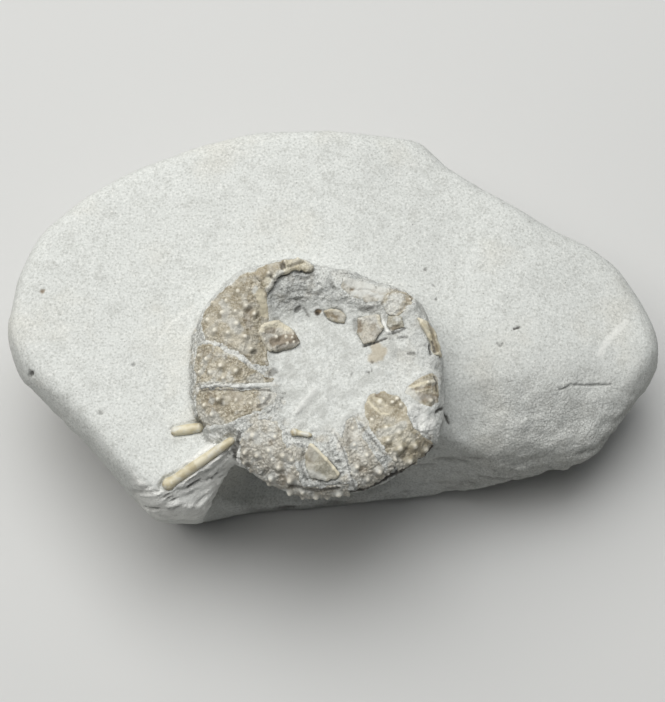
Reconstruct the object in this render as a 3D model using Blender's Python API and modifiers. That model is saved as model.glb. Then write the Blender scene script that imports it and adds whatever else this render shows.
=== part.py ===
"""Fossil sea urchin lying in its stone, modelled at its real size.

The stone is a rounded nodule with a flat foot. The urchin's test stands on it as a low drum of
hardened mud, and the broken plates of the shell lie in pockets in that drum, each a piece of its
own. Three spines lie in grooves. Lengths are in millimetres and become metres in the meshes.
"""

import math
from dataclasses import dataclass

import bmesh
import bpy
from mathutils import Matrix, Vector, noise
from mathutils.geometry import delaunay_2d_cdt

MM = 0.001
NAME = "fossil_sea_urchin"

# Clear space between a piece and the pocket or groove that holds it.
GAP = 0.3

# Fixes the noise that shakes the broken edges.
NOISE_SEED = 7

# ---- the stone -------------------------------------------------------------------------------

# Outline of the stone, anticlockwise from its left end. Each row is x, y, the height of the
# widest line there, the width of the rounded shoulder above it, and how far the foot is set in.
STONE_RIM = (
    (-85.5, -7.2, 39, 5, 13),
    (-85.2, 0.0, 39, 5, 13),
    (-83.6, 10.5, 40, 5, 13),
    (-78.7, 21.4, 40, 5, 13),
    (-72.4, 28.2, 41, 5, 13),
    (-63.2, 35.6, 41, 5, 13),
    (-54.4, 40.9, 41, 6, 13),
    (-44.5, 45.2, 41, 6, 13),
    (-33.0, 49.2, 41, 6, 14),
    (-20.0, 52.2, 41, 6, 14),
    (-5.0, 52.6, 41, 6, 14),
    (8.0, 52.0, 41, 6, 14),
    (17.5, 51.4, 40, 6, 14),
    (23.0, 49.6, 40, 6, 13),
    (30.0, 43.0, 39, 6, 12),
    (40.6, 36.4, 38, 7, 12),
    (56.5, 27.7, 36, 8, 12),
    (70.5, 20.5, 34, 7, 12),
    (78.2, 12.2, 32, 6, 12),
    (83.4, 2.6, 28.5, 5, 12),
    (85.5, -5.6, 25, 5, 12),
    (83.2, -12.2, 25, 5, 11),
    (76.6, -20.9, 27, 4.5, 10),
    (70.0, -28.8, 26, 4.5, 9),
    (64.3, -33.2, 24.5, 4.5, 9),
    (55.9, -34.6, 20, 5, 8),
    (43.7, -37.1, 16, 5, 8),
    (27.8, -37.7, 6, 5, 4),
    (8.0, -39.1, 3, 9, 2),
    (-10.0, -41.5, 4, 14, 2),
    (-25.0, -46.5, 24, 10, 5),
    (-34.0, -51.8, 39, 7, 8),
    (-41.0, -52.6, 39, 5, 9),
    (-46.9, -51.2, 33, 5, 9),
    (-51.0, -47.6, 35, 5, 10),
    (-56.5, -42.0, 37, 5, 11),
    (-62.5, -35.0, 38, 5, 12),
    (-69.5, -28.0, 38, 5, 13),
    (-76.0, -21.8, 39, 5, 13),
    (-82.0, -15.4, 39, 5, 13),
)
RIM_STEPS = 4
SIDE_STEPS = 5
SHOULDER_STEPS = 6
TOP_FRACTIONS = (0.4, 0.7, 0.9, 0.97)
SPINE_HALF_LENGTH = 46.0
SPINE_Y = 6.0
BELOW_FOOT = 4.0
SETBACK_POWER = 1.6

# Height of the top: the level left of the urchin, and how it falls away to the right, towards
# the tip and, right of the urchin, towards the front. Each fall has its depth and its two ends.
TOP_LEVEL = 49.5
RIGHT_FALL = (5.0, -5.0, 32.0)
TIP_FALL = (9.0, 42.0, 90.0)
FRONT_FALL = (13.0, 8.0, 42.0)
FRONT_FALL_FROM = (10.0, 36.0)
TOP_WAVE = 0.9
TOP_WAVE_LENGTH = 38.0

# The notch between the lobe on the left and the test: its plan at two heights.
NOTCH_LOW = (
    (-36.0, -44.6), (-37.0, -47.0), (-38.0, -50.0), (-39.0, -54.0),
    (-42.0, -66.0), (60.0, -66.0), (60.0, -48.0), (46.0, -40.5), (36.0, -38.4), (26.0, -37.6),
)
NOTCH_HIGH = (
    (-23.8, -34.5), (-26.0, -39.5), (-28.5, -45.0), (-31.5, -50.0),
    (-35.0, -66.0), (60.0, -66.0), (60.0, -45.0), (46.0, -37.0), (36.0, -32.0), (26.0, -28.6),
)
NOTCH_HEIGHTS = (2.0, 48.0)
NOTCH_OVERRUN = 0.2

# The hollow worked out under the test: centre and half sizes.
HOLLOW_CENTRE = (-6.0, -43.0, 25.0)
HOLLOW_HALF = (30.0, 17.0, 21.0)

# The fracture that slopes from the long spine to the edge of the lobe: a point on it, the
# direction of its upper edge in plan, and its slope.
LOBE_FACE_POINT = (-33.8, -41.8, 48.6)
LOBE_FACE_BEARING = 37.5
LOBE_FACE_SLOPE = 38.0
LOBE_FACE_SIZE = (70.0, 40.0, 30.0)

# The ramp of stone that climbs beside the long spine onto the test: corners of its foot, all at
# one height, and of its top.
RAMP_FOOT = (
    (-39.8, -48.0), (-31.6, -47.2), (-28.2, -41.0), (-24.0, -35.0),
    (-22.0, -31.0), (-31.0, -34.8), (-36.5, -36.2), (-41.0, -40.5),
)
RAMP_FOOT_HEIGHT = 42.0
RAMP_TOP = (
    (-41.0, -46.9, 48.9), (-33.2, -43.4, 52.0), (-25.2, -38.9, 55.3), (-22.5, -35.0, 56.8),
    (-22.0, -31.0, 56.8), (-31.0, -34.8, 53.4), (-36.5, -36.2, 50.0), (-41.0, -40.5, 49.2),
)

# A small chip out of the back edge: centre and radius.
CHIP_CENTRE = (-46.0, 48.3, 47.0)
CHIP_RADIUS = 5.0

# Surface of the stone: voxels of the joined solid, relief, and the facets that are kept.
VOXEL = 1.1
SOFTEN_ROUNDS = 4
GRAIN_RELIEF = 0.35
GRAIN_LENGTH = 9.0
HAMMERED_RELIEF = 0.7
HAMMERED_LENGTH = 6.0
LEDGE_RELIEF = 0.8
LEDGE_HEIGHT = 7.0
LEDGE_WANDER = 2.5
LEDGE_WANDER_LENGTH = 30.0
LEDGE_HEIGHTS = (16.0, 30.0)
WALL_NORMALS = (0.35, 0.75)
ROUGH_FRONT = (8.0, 26.0)
ROUGH_RIGHT = (22.0, 45.0)
HOLLOW_RELIEF = 1.3
HOLLOW_LENGTH = 8.0
HOLLOW_REACH = (0.95, 1.3)
STONE_TRIANGLES = 4600

# Block that takes everything below the foot away.
FOOT_BLOCK_WIDTH = 300.0
FOOT_BLOCK_HEIGHT = 30.0

# ---- the test --------------------------------------------------------------------------------

AXIS = (-5.0, -19.0)
FLOOR_HEIGHT = 58.0
GIRTH_HEIGHT = 50.5
UNDERSIDE_RADIUS = 12.0
UNDERSIDE_DEPTH = 14.0
PLUG_BOTTOM = 35.0

# Round the test: bearing in degrees, radius and height of the broken rim, radius of the girth.
TEST_RIM = (
    (0, 25.0, 58.5, 31.3),
    (35, 25.5, 61.0, 31.3),
    (60, 21.5, 61.0, 27.8),
    (85, 21.5, 62.5, 27.3),
    (110, 24.5, 64.8, 30.2),
    (130, 25.5, 64.2, 33.0),
    (150, 22.0, 62.5, 33.5),
    (180, 20.0, 61.0, 32.0),
    (210, 20.0, 59.5, 32.5),
    (235, 18.5, 59.0, 30.0),
    (270, 18.5, 58.5, 31.3),
    (300, 20.0, 58.5, 32.3),
    (330, 24.0, 58.5, 34.0),
)
INNER_STEPS = 6
OUTER_STEPS = 10
UNDER_STEPS = 6
BEARING_STEPS = 72

# ---- the plates ------------------------------------------------------------------------------

PLATE_SPACING = 2.6
UNDER_SPACING = 3.4
ROW_SPACING = 0.87
EDGE_CLEARANCE = 0.45
KNOB_CLEARANCE = 0.7
EDGE_RAG = 0.2
RAG_FREQUENCY = 0.9
SHARPEST_CORNER = 0.6
PLATE_RELIEF = 0.3
RELIEF_FREQUENCY = 0.35
TANGENT_REACH = 0.8
KNOB_SIDES = 7
NIPPLE_SIDES = 6
KNOB_SHOULDER = (0.62, 0.62)
POCKET_TOP = 3.5
POCKET_FLOOR_GAP = 0.45

TAN = (0.46, 0.40, 0.30, 1.0)
GREY_TAN = (0.42, 0.39, 0.33, 1.0)
CREAM = (0.62, 0.56, 0.42, 1.0)
STONE_GREY = (0.55, 0.55, 0.52, 1.0)


@dataclass(frozen=True)
class Plate:
    """A broken piece of shell, laid on the test.

    The outline and the knobs are placed by bearing in degrees round the test's axis and by
    distance in millimetres down its surface from the middle of the top. A knob also has its
    radius and its height.
    """

    name: str
    colour: tuple
    outline: tuple
    knobs: tuple = ()
    thickness: float = 1.8
    proud: float = 0.4


PLATES = (
    Plate(
        "upper_left_plates", TAN,
        ((163, 31.0), (158, 33.5), (150, 34.5), (143, 33.0), (139, 31.5), (134, 30.2), (131, 28.4),
         (130, 25.6), (129.6, 23.4), (133.4, 20.0), (138, 18.4), (147, 20.0), (154, 20.0),
         (161, 16.6), (168, 14.6), (182, 13.0), (181, 16.8), (173, 20.4), (169, 24.4),
         (166.5, 29.5)),
        ((149, 32.3, 1.2, 1.0), (153, 27.5, 1.4, 1.1), (143, 23.5, 1.2, 1.0), (143.5, 21.0, 1.2, 1.2),
         (156, 23.0, 1.2, 0.9), (163, 27.5, 1.2, 0.9), (158, 30.8, 1.1, 0.9), (139, 27.6, 1.2, 0.9),
         (162, 20.0, 1.2, 1.0), (163, 24.0, 1.1, 0.8), (170, 17.6, 1.1, 0.9), (146, 28.6, 1.1, 0.8),
         (149, 24.8, 0.9, 0.7)),
    ),
    Plate(
        "tongue_plate", GREY_TAN,
        ((147, 18.0), (140, 16.9), (131, 15.4), (127, 12.5), (125, 9.3), (129, 7.3), (143, 7.3),
         (160, 10.1), (166, 13.0), (160, 15.2), (152, 17.6)),
        ((147, 12.8, 1.1, 0.8),),
        thickness=1.6, proud=1.5,
    ),
    Plate(
        "upper_left_rim", CREAM,
        ((127, 28.2), (123.5, 28.9), (119, 28.9), (113, 28.5), (107, 28.2), (101, 27.8), (95, 27.0),
         (92, 25.2), (96, 24.5), (104, 25.1), (111, 25.3), (116, 24.5), (121.5, 23.2), (126.2, 22.8),
         (127.2, 25.2)),
        ((101, 27.0, 0.9, 0.7), (109, 27.2, 0.8, 0.6), (120, 26.5, 1.0, 0.7)),
        thickness=1.7, proud=1.1,
    ),
    Plate(
        "left_plates", TAN,
        ((172, 32.6), (171, 29.6), (173.5, 25.0), (179, 21.6), (187, 18.4), (193, 14.9), (200, 11.2),
         (202, 12.6), (197, 20.0), (191, 28.0), (188.5, 32.4), (181, 33.2)),
        ((175, 30.9, 1.1, 0.9), (178, 28.2, 1.2, 1.0), (183, 24.4, 1.4, 1.2), (188, 20.8, 1.3, 1.0),
         (183.5, 30.6, 1.0, 0.8), (185.5, 27.2, 1.0, 0.8), (190.5, 24.0, 0.8, 0.6)),
    ),
    Plate(
        "lower_left_plates", TAN,
        ((192, 32.6), (195, 27.0), (201.5, 20.0), (210, 13.4), (220, 12.8), (224, 15.6), (221, 19.0),
         (217, 24.0), (214, 28.2), (209, 32.4), (203, 33.8), (197, 33.6)),
        ((201, 26.3, 1.3, 1.1), (200, 30.2, 1.0, 0.7), (206, 22.4, 0.9, 0.5), (213, 19.8, 0.9, 0.5),
         (206, 29.4, 1.0, 0.7), (215, 16.4, 0.8, 0.4)),
    ),
    Plate(
        "front_plates", GREY_TAN,
        ((224, 24.8), (225, 20.0), (236, 18.0), (245, 20.4), (250, 22.6), (256, 23.6), (259, 26.6),
         (262, 30.6), (271, 31.2), (280, 30.6), (284, 31.4), (284, 35.8), (274, 37.0), (262, 37.0),
         (252, 36.5), (245, 36.0), (240, 33.4), (232, 32.4), (227, 30.0)),
        ((229, 24.4, 1.4, 0.9), (231, 28.8, 1.2, 0.9), (233, 31.2, 1.1, 0.9), (237, 27.8, 1.1, 0.8),
         (250, 25.0, 1.1, 0.9), (250, 28.0, 1.5, 1.4), (255.4, 25.4, 0.8, 0.8), (247.5, 31.8, 1.2, 1.0),
         (247, 34.6, 1.2, 1.1), (256.5, 30.2, 1.6, 1.5), (257, 34.6, 1.3, 1.3), (263, 33.0, 1.0, 0.9),
         (269, 34.6, 1.3, 1.2), (279, 34.2, 1.4, 1.2), (241, 21.6, 0.9, 0.5)),
    ),
    Plate(
        "triangular_plate", CREAM,
        ((265, 20.4), (272, 22.4), (277, 25.0), (281, 28.2), (279, 29.2), (273, 29.4), (267, 28.6),
         (262.5, 25.6), (262.5, 22.6)),
        thickness=1.1, proud=0.9,
    ),
    Plate(
        "front_right_plates", GREY_TAN,
        ((294, 16.0), (304, 15.6), (301, 20.0), (300.5, 25.6), (302, 31.0), (302.5, 34.5),
         (295, 35.5), (288, 35.2), (286.5, 30.0), (286.5, 24.0), (288, 19.0)),
        ((290, 27.8, 1.4, 1.2), (299, 31.0, 1.4, 1.2), (293, 22.6, 1.0, 0.6), (293, 31.6, 1.1, 0.8),
         (297, 18.6, 0.9, 0.4)),
    ),
    Plate(
        "right_front_plates", TAN,
        ((316, 15.2), (329, 14.9), (336, 17.6), (337, 21.4), (334, 24.0), (329, 25.6), (325, 28.6),
         (326, 33.0), (327, 37.5), (320, 39.0), (313, 37.5), (307.5, 35.5), (306.5, 28.0), (307, 20.4)),
        ((327, 18.0, 1.3, 0.8), (331, 20.8, 1.0, 0.8), (331.8, 22.9, 0.8, 0.7), (315, 23.4, 1.1, 0.9),
         (311, 25.8, 1.0, 0.8), (318, 26.4, 1.1, 0.9), (313, 29.2, 1.6, 1.8), (313.5, 33.6, 1.5, 1.4),
         (319, 31.6, 1.4, 1.2), (322, 35.0, 1.3, 1.1), (312, 19.6, 1.0, 0.6)),
    ),
    Plate(
        "right_plate", TAN,
        ((342, 22.4), (348, 23.8), (352, 26.4), (356, 28.6), (356, 31.0), (350, 31.8), (344, 31.6),
         (339.5, 29.4), (338.5, 25.6)),
        ((346, 28.8, 0.9, 0.5), (350, 27.2, 0.8, 0.4)),
        proud=0.7,
    ),
    Plate(
        "right_rim_splinter", CREAM,
        ((25, 27.2), (22, 30.0), (16, 31.6), (10, 31.9), (5, 31.4), (6, 28.8), (12, 28.8), (18, 27.6)),
        thickness=1.5, proud=0.9,
    ),
    Plate(
        "upper_right_splinter", TAN,
        ((38, 30.0), (35, 30.2), (33, 27.6), (31, 23.4), (36.5, 21.8), (38.5, 25.6)),
        ((36, 28.4, 0.8, 0.7),),
        thickness=1.4, proud=1.0,
    ),
    Plate(
        "square_plate", GREY_TAN,
        ((51, 15.8), (39.5, 20.0), (29, 19.0), (23, 15.0), (26, 12.4), (40, 12.6)),
        ((38, 15.8, 0.9, 0.3),),
        thickness=1.4, proud=1.1,
    ),
    Plate(
        "small_square_plate", CREAM,
        ((29.8, 22.2), (24, 22.8), (20, 20.8), (23.8, 18.9)),
        thickness=1.2, proud=1.0,
    ),
    Plate(
        "back_right_plates", GREY_TAN,
        ((75, 23.6), (65, 24.2), (56, 25.4), (47, 26.4), (45, 22.8), (52, 20.2), (64, 19.2), (74, 20.6)),
        thickness=1.4, proud=0.5,
    ),
    Plate(
        "plate_chip", TAN,
        ((85, 13.9), (78, 15.1), (69, 15.2), (61, 14.4), (59, 12.4), (69, 11.9), (79, 12.4)),
        thickness=1.2, proud=0.8,
    ),
)

# ---- the spines ------------------------------------------------------------------------------

SPINE_SIDES = 12


@dataclass(frozen=True)
class Spine:
    """A loose spine, from its base end to its tip, half sunk in the stone.

    The profile gives distances along the spine and radii there.
    """

    name: str
    base: tuple
    tip: tuple
    profile: tuple


SPINES = (
    Spine(
        "long_spine", (-42.9, -47.6, 48.6), (-25.7, -37.5, 55.8),
        ((0.0, 0.9), (0.5, 1.35), (1.3, 1.6), (2.0, 1.45), (2.8, 1.25), (10.0, 1.3), (17.0, 1.15),
         (20.6, 0.95), (21.2, 0.5)),
    ),
    Spine(
        "short_spine", (-41.6, -33.8, 49.7), (-33.4, -32.6, 50.3),
        ((0.0, 0.5), (0.7, 1.15), (4.0, 1.35), (7.4, 1.2), (8.0, 0.6)),
    ),
    Spine(
        "small_spine", (-11.6, -36.7, 59.3), (-6.6, -37.6, 59.1),
        ((0.0, 0.4), (0.4, 0.95), (1.2, 0.95), (1.8, 0.7), (4.4, 0.65), (5.1, 0.35)),
    ),
)


# ---- small helpers ---------------------------------------------------------------------------

def mix(a, b, share):
    """Value between a and b."""
    return a + (b - a) * share


def smooth(value, low, high):
    """Smooth step from 0 at low to 1 at high."""
    t = min(max((value - low) / (high - low), 0.0), 1.0)
    return t * t * (3.0 - 2.0 * t)


def material(name, colour, roughness=0.85):
    """Plain Principled material of one colour."""
    made = bpy.data.materials.new(name)
    made.use_nodes = True
    shader = made.node_tree.nodes["Principled BSDF"]
    shader.inputs["Base Color"].default_value = colour
    shader.inputs["Roughness"].default_value = roughness
    shader.inputs["Metallic"].default_value = 0.0
    made.diffuse_color = colour
    return made


def add_object(name, mesh, collection):
    """Object of a mesh, in a collection."""
    made = bpy.data.objects.new(name, mesh)
    collection.objects.link(made)
    return made


def mesh_from(name, points, faces):
    """Mesh from points in millimetres, its faces turned outwards."""
    mesh = bpy.data.meshes.new(name)
    mesh.from_pydata([Vector(p) * MM for p in points], [], faces)
    shape = bmesh.new()
    shape.from_mesh(mesh)
    wide = [face for face in shape.faces if len(face.verts) > 4]
    bmesh.ops.triangulate(shape, faces=wide, ngon_method="BEAUTY")
    bmesh.ops.recalc_face_normals(shape, faces=shape.faces)
    shape.to_mesh(mesh)
    shape.free()
    return mesh


def loft(name, rings):
    """Closed mesh through rings of equal count, with the first and last ring filled."""
    count = len(rings[0])
    points = [p for ring in rings for p in ring]
    faces = []
    for level in range(len(rings) - 1):
        low = level * count
        high = low + count
        for i in range(count):
            j = (i + 1) % count
            faces.append((low + i, low + j, high + j, high + i))
    faces.append(tuple(reversed(range(count))))
    last = (len(rings) - 1) * count
    faces.append(tuple(range(last, last + count)))
    return mesh_from(name, points, faces)


def as_cutter(cutter):
    """Marks an object as a cutter, which is no part of the model."""
    cutter.hide_render = True
    cutter.display_type = "WIRE"
    return cutter


def boolean(target, other, operation):
    """Adds a Boolean modifier."""
    cut = target.modifiers.new(other.name, "BOOLEAN")
    cut.operation = operation
    cut.solver = "EXACT"
    cut.object = other


def settled(thing, name):
    """New mesh of an object with its modifiers applied."""
    bpy.context.view_layer.update()
    graph = bpy.context.evaluated_depsgraph_get()
    mesh = bpy.data.meshes.new_from_object(thing.evaluated_get(graph))
    mesh.name = name
    return mesh


# ---- shape of the test -----------------------------------------------------------------------

def rim_at(bearing):
    """Rim radius, rim height and girth radius at a bearing in degrees."""
    bearing %= 360.0
    for here, after in zip(TEST_RIM, TEST_RIM[1:] + ((360.0,) + TEST_RIM[0][1:],)):
        if here[0] <= bearing <= after[0]:
            share = smooth(bearing, here[0], after[0])
            return [mix(a, b, share) for a, b in zip(here[1:], after[1:])]
    return list(TEST_RIM[0][1:])


def meridian(bearing):
    """Profile of the test at a bearing, as radius and height from the middle of the top down."""
    rim_radius, rim_height, girth = rim_at(bearing)
    profile = [(0.0, FLOOR_HEIGHT)]
    for step in range(INNER_STEPS + 1):
        share = step / INNER_STEPS
        radius = rim_radius * mix(0.5, 1.0, share)
        profile.append((radius, mix(FLOOR_HEIGHT, rim_height, smooth(share, 0.0, 1.0))))
    for step in range(1, OUTER_STEPS + 1):
        turn = 0.5 * math.pi * step / OUTER_STEPS
        radius = mix(rim_radius, girth, math.sin(turn))
        profile.append((radius, mix(GIRTH_HEIGHT, rim_height, math.cos(turn))))
    for step in range(1, UNDER_STEPS + 1):
        turn = 0.5 * math.pi * step / UNDER_STEPS
        radius = mix(UNDERSIDE_RADIUS, girth, math.cos(turn))
        profile.append((radius, GIRTH_HEIGHT - UNDERSIDE_DEPTH * math.sin(turn)))
    return profile


def meridian_at(profile, distance):
    """Radius and height at a distance down a profile."""
    for (r0, z0), (r1, z1) in zip(profile, profile[1:]):
        length = math.hypot(r1 - r0, z1 - z0)
        if distance <= length:
            share = distance / length
            return Vector((mix(r0, r1, share), mix(z0, z1, share)))
        distance -= length
    return Vector(profile[-1])


def flat(bearing, distance):
    """Place on the test, unrolled onto a plane about the axis."""
    turn = math.radians(bearing)
    return Vector((distance * math.cos(turn), distance * math.sin(turn)))


def on_test(place, lift):
    """Point in space over an unrolled place, lifted off the surface."""
    bearing = math.atan2(place.y, place.x)
    profile = meridian(math.degrees(bearing))
    distance = place.length
    here = meridian_at(profile, distance)
    after = meridian_at(profile, distance + TANGENT_REACH)
    along = after - meridian_at(profile, max(distance - TANGENT_REACH, 0.0))
    along.normalize()
    radius = here.x - along.y * lift
    height = here.y + along.x * lift
    x = AXIS[0] + radius * math.cos(bearing)
    y = AXIS[1] + radius * math.sin(bearing)
    return Vector((x, y, height))


def test_drum():
    """The test with its filling of mud, as one closed drum that reaches into the stone."""
    rings = []
    bearings = [360.0 * i / BEARING_STEPS for i in range(BEARING_STEPS)]
    profiles = [meridian(b) for b in bearings]
    levels = len(profiles[0])
    for level in range(1, levels):
        ring = []
        for bearing, profile in zip(bearings, profiles):
            radius, height = profile[level]
            turn = math.radians(bearing)
            ring.append((AXIS[0] + radius * math.cos(turn), AXIS[1] + radius * math.sin(turn), height))
        rings.append(ring)
    rings.append([(x, y, PLUG_BOTTOM) for x, y, z in rings[-1]])
    return loft("test_drum", rings)


# ---- shell plates ----------------------------------------------------------------------------

def ragged_edge(outline):
    """Outline of a plate on the unrolled surface, broken into short uneven edges."""
    corners = [flat(b, d) for b, d in outline]
    area = sum(a.x * b.y - b.x * a.y for a, b in zip(corners, corners[1:] + corners[:1]))
    if area < 0.0:
        corners.reverse()
    edge = []
    for a, b in zip(corners, corners[1:] + corners[:1]):
        pieces = max(1, round((b - a).length / PLATE_SPACING))
        for i in range(pieces):
            point = a.lerp(b, i / pieces)
            shake = noise.noise_vector(Vector((point.x, point.y, 0.0)) * RAG_FREQUENCY)
            edge.append(point + Vector((shake.x, shake.y)) * EDGE_RAG)
    return edge


def grown(edge, margin):
    """An outline moved outwards by a margin."""
    moved = []
    for before, here, after in zip(edge[-1:] + edge[:-1], edge, edge[1:] + edge[:1]):
        a = (here - before).normalized()
        b = (after - here).normalized()
        out_a = Vector((a.y, -a.x))
        out_b = Vector((b.y, -b.x))
        middle = (out_a + out_b).normalized()
        moved.append(here + middle * (margin / max(middle.dot(out_a), SHARPEST_CORNER)))
    return moved


def inside(point, edge):
    """Whether a point lies within an outline."""
    crossings = 0
    for a, b in zip(edge, edge[1:] + edge[:1]):
        if (a.y > point.y) != (b.y > point.y):
            if point.x < a.x + (b.x - a.x) * (point.y - a.y) / (b.y - a.y):
                crossings += 1
    return crossings % 2 == 1


def edge_distance(point, edge):
    """Distance from a point to an outline."""
    best = math.inf
    for a, b in zip(edge, edge[1:] + edge[:1]):
        run = b - a
        share = min(max((point - a).dot(run) / run.length_squared, 0.0), 1.0)
        best = min(best, (point - a - run * share).length)
    return best


def lattice(edge, spacing, knobs):
    """Evenly spread places within an outline, clear of its edge and of the knobs."""
    low_x = min(p.x for p in edge)
    low_y = min(p.y for p in edge)
    columns = int((max(p.x for p in edge) - low_x) / spacing) + 2
    rows = int((max(p.y for p in edge) - low_y) / (spacing * ROW_SPACING)) + 2
    found = []
    for row in range(rows):
        for column in range(columns):
            x = low_x + (column + 0.5 * (row % 2)) * spacing
            place = Vector((x, low_y + row * spacing * ROW_SPACING))
            if not inside(place, edge) or edge_distance(place, edge) < EDGE_CLEARANCE * spacing:
                continue
            if all((place - centre).length > radius + KNOB_CLEARANCE for centre, radius, height in knobs):
                found.append(place)
    return found


def knob_places(centre, radius, height):
    """Places and lifts of one knob: a boss with a smaller nipple on it."""
    shoulder_radius = radius * KNOB_SHOULDER[0]
    shoulder_height = height * KNOB_SHOULDER[1]
    places = [(centre, height)]
    rings = ((radius, 0.0, KNOB_SIDES), (shoulder_radius, shoulder_height, NIPPLE_SIDES))
    for ring_radius, lift, sides in rings:
        for i in range(sides):
            turn = 2.0 * math.pi * i / sides
            offset = Vector((math.cos(turn), math.sin(turn))) * ring_radius
            places.append((centre + offset, lift))
    return places


def filled(edge, lattice_edge, spacing, knobs, relief):
    """Triangles that fill an outline: places, lifts, faces, and where the edge's places went."""
    places = [(p, 0.0) for p in edge]
    for place in lattice(lattice_edge, spacing, knobs):
        wave = noise.noise(Vector((place.x, place.y, 0.0)) * RELIEF_FREQUENCY)
        places.append((place, relief * wave))
    for knob in knobs:
        places += knob_places(*knob)
    rim = [(i, (i + 1) % len(edge)) for i in range(len(edge))]
    points, edges, faces, origin, edge_origin, face_origin = delaunay_2d_cdt(
        [p for p, lift in places], rim, [], 1, 1e-5)
    lifts = [places[o[0]][1] for o in origin]
    new_index = {old: new for new, olds in enumerate(origin) for old in olds}
    return points, lifts, faces, [new_index[i] for i in range(len(edge))]


def shell_mesh(name, edge, lattice_edge, knobs, top, bottom, relief):
    """Closed plate between two lifts off the test's surface.

    The places inside it are those of lattice_edge, so that a pocket's floor follows its plate.
    """
    upper, lifts, upper_faces, upper_rim = filled(edge, lattice_edge, PLATE_SPACING, knobs, relief)
    lower, unused, lower_faces, lower_rim = filled(edge, lattice_edge, UNDER_SPACING, [], 0.0)
    points = [on_test(p, top + lift) for p, lift in zip(upper, lifts)]
    points += [on_test(p, bottom) for p in lower]
    first = len(upper)
    faces = [tuple(face) for face in upper_faces]
    faces += [tuple(first + i for i in reversed(face)) for face in lower_faces]
    for i in range(len(edge)):
        j = (i + 1) % len(edge)
        faces.append((upper_rim[j], upper_rim[i], first + lower_rim[i], first + lower_rim[j]))
    return mesh_from(name, points, faces)


def make_plate(plate, parts, cutters):
    """Builds one plate, and the cutter of its pocket."""
    edge = ragged_edge(plate.outline)
    knobs = [(flat(b, d), radius, height) for b, d, radius, height in plate.knobs]
    bottom = plate.proud - plate.thickness
    mesh = shell_mesh(plate.name, edge, edge, knobs, plate.proud, bottom, PLATE_RELIEF)
    mesh.materials.append(material(plate.name, plate.colour))
    add_object(plate.name, mesh, parts)
    name = plate.name + "_pocket"
    pocket = shell_mesh(name, grown(edge, GAP), edge, [], POCKET_TOP, bottom - POCKET_FLOOR_GAP, 0.0)
    return as_cutter(add_object(name, pocket, cutters))


# ---- spines ----------------------------------------------------------------------------------

def turned(name, profile, margin, collection):
    """Turned piece about its own Z axis, from a profile of distances and radii."""
    grown_profile = [(d, r + margin) for d, r in profile]
    start = grown_profile[0][0] - margin
    end = grown_profile[-1][0] + margin
    points = [(0.0, end)] + [(r, d) for d, r in reversed(grown_profile)] + [(0.0, start)]
    if margin:
        points[1] = (points[1][0], end)
        points[-2] = (points[-2][0], start)
    mesh = bpy.data.meshes.new(name)
    rows = [Vector((r, 0.0, d)) * MM for r, d in points]
    mesh.from_pydata(rows, [(i, i + 1) for i in range(len(rows) - 1)], [])
    made = add_object(name, mesh, collection)
    screw = made.modifiers.new("turn", "SCREW")
    screw.steps = SPINE_SIDES
    screw.render_steps = SPINE_SIDES
    screw.use_merge_vertices = True
    screw.merge_threshold = 0.00001
    return made


def make_spine(spine, parts, cutters):
    """Builds one spine, and the cutter of its groove."""
    base = Vector(spine.base) * MM
    run = Vector(spine.tip) * MM - base
    place = Matrix.Translation(base) @ run.to_track_quat("Z", "X").to_matrix().to_4x4()
    body = turned(spine.name, spine.profile, 0.0, parts)
    body.matrix_world = place
    body.data.materials.append(material(spine.name, CREAM, 0.5))
    groove = turned(spine.name + "_groove", spine.profile, GAP, cutters)
    groove.matrix_world = place
    return as_cutter(groove)


# ---- the stone -------------------------------------------------------------------------------

def top_height(x, y):
    """Height of the stone's top, before its relief."""
    height = TOP_LEVEL
    height -= RIGHT_FALL[0] * smooth(x, RIGHT_FALL[1], RIGHT_FALL[2])
    height -= TIP_FALL[0] * smooth(x, TIP_FALL[1], TIP_FALL[2])
    height -= FRONT_FALL[0] * smooth(-y, FRONT_FALL[1], FRONT_FALL[2]) * smooth(x, *FRONT_FALL_FROM)
    wave = noise.noise(Vector((x, y, 0.0)) / TOP_WAVE_LENGTH)
    return height + TOP_WAVE * wave


def rim_stations():
    """Stations round the stone, on a smooth closed curve through STONE_RIM."""
    count = len(STONE_RIM)
    stations = []
    for i in range(count):
        p0, p1, p2, p3 = (STONE_RIM[(i + k - 1) % count] for k in range(4))
        for step in range(RIM_STEPS):
            t = step / RIM_STEPS
            row = []
            for a, b, c, d in zip(p0, p1, p2, p3):
                bend = (2 * a - 5 * b + 4 * c - d) * t + (3 * b - a - 3 * c + d) * t * t
                row.append(b + 0.5 * t * (c - a + bend))
            stations.append(row)
    return stations


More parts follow.
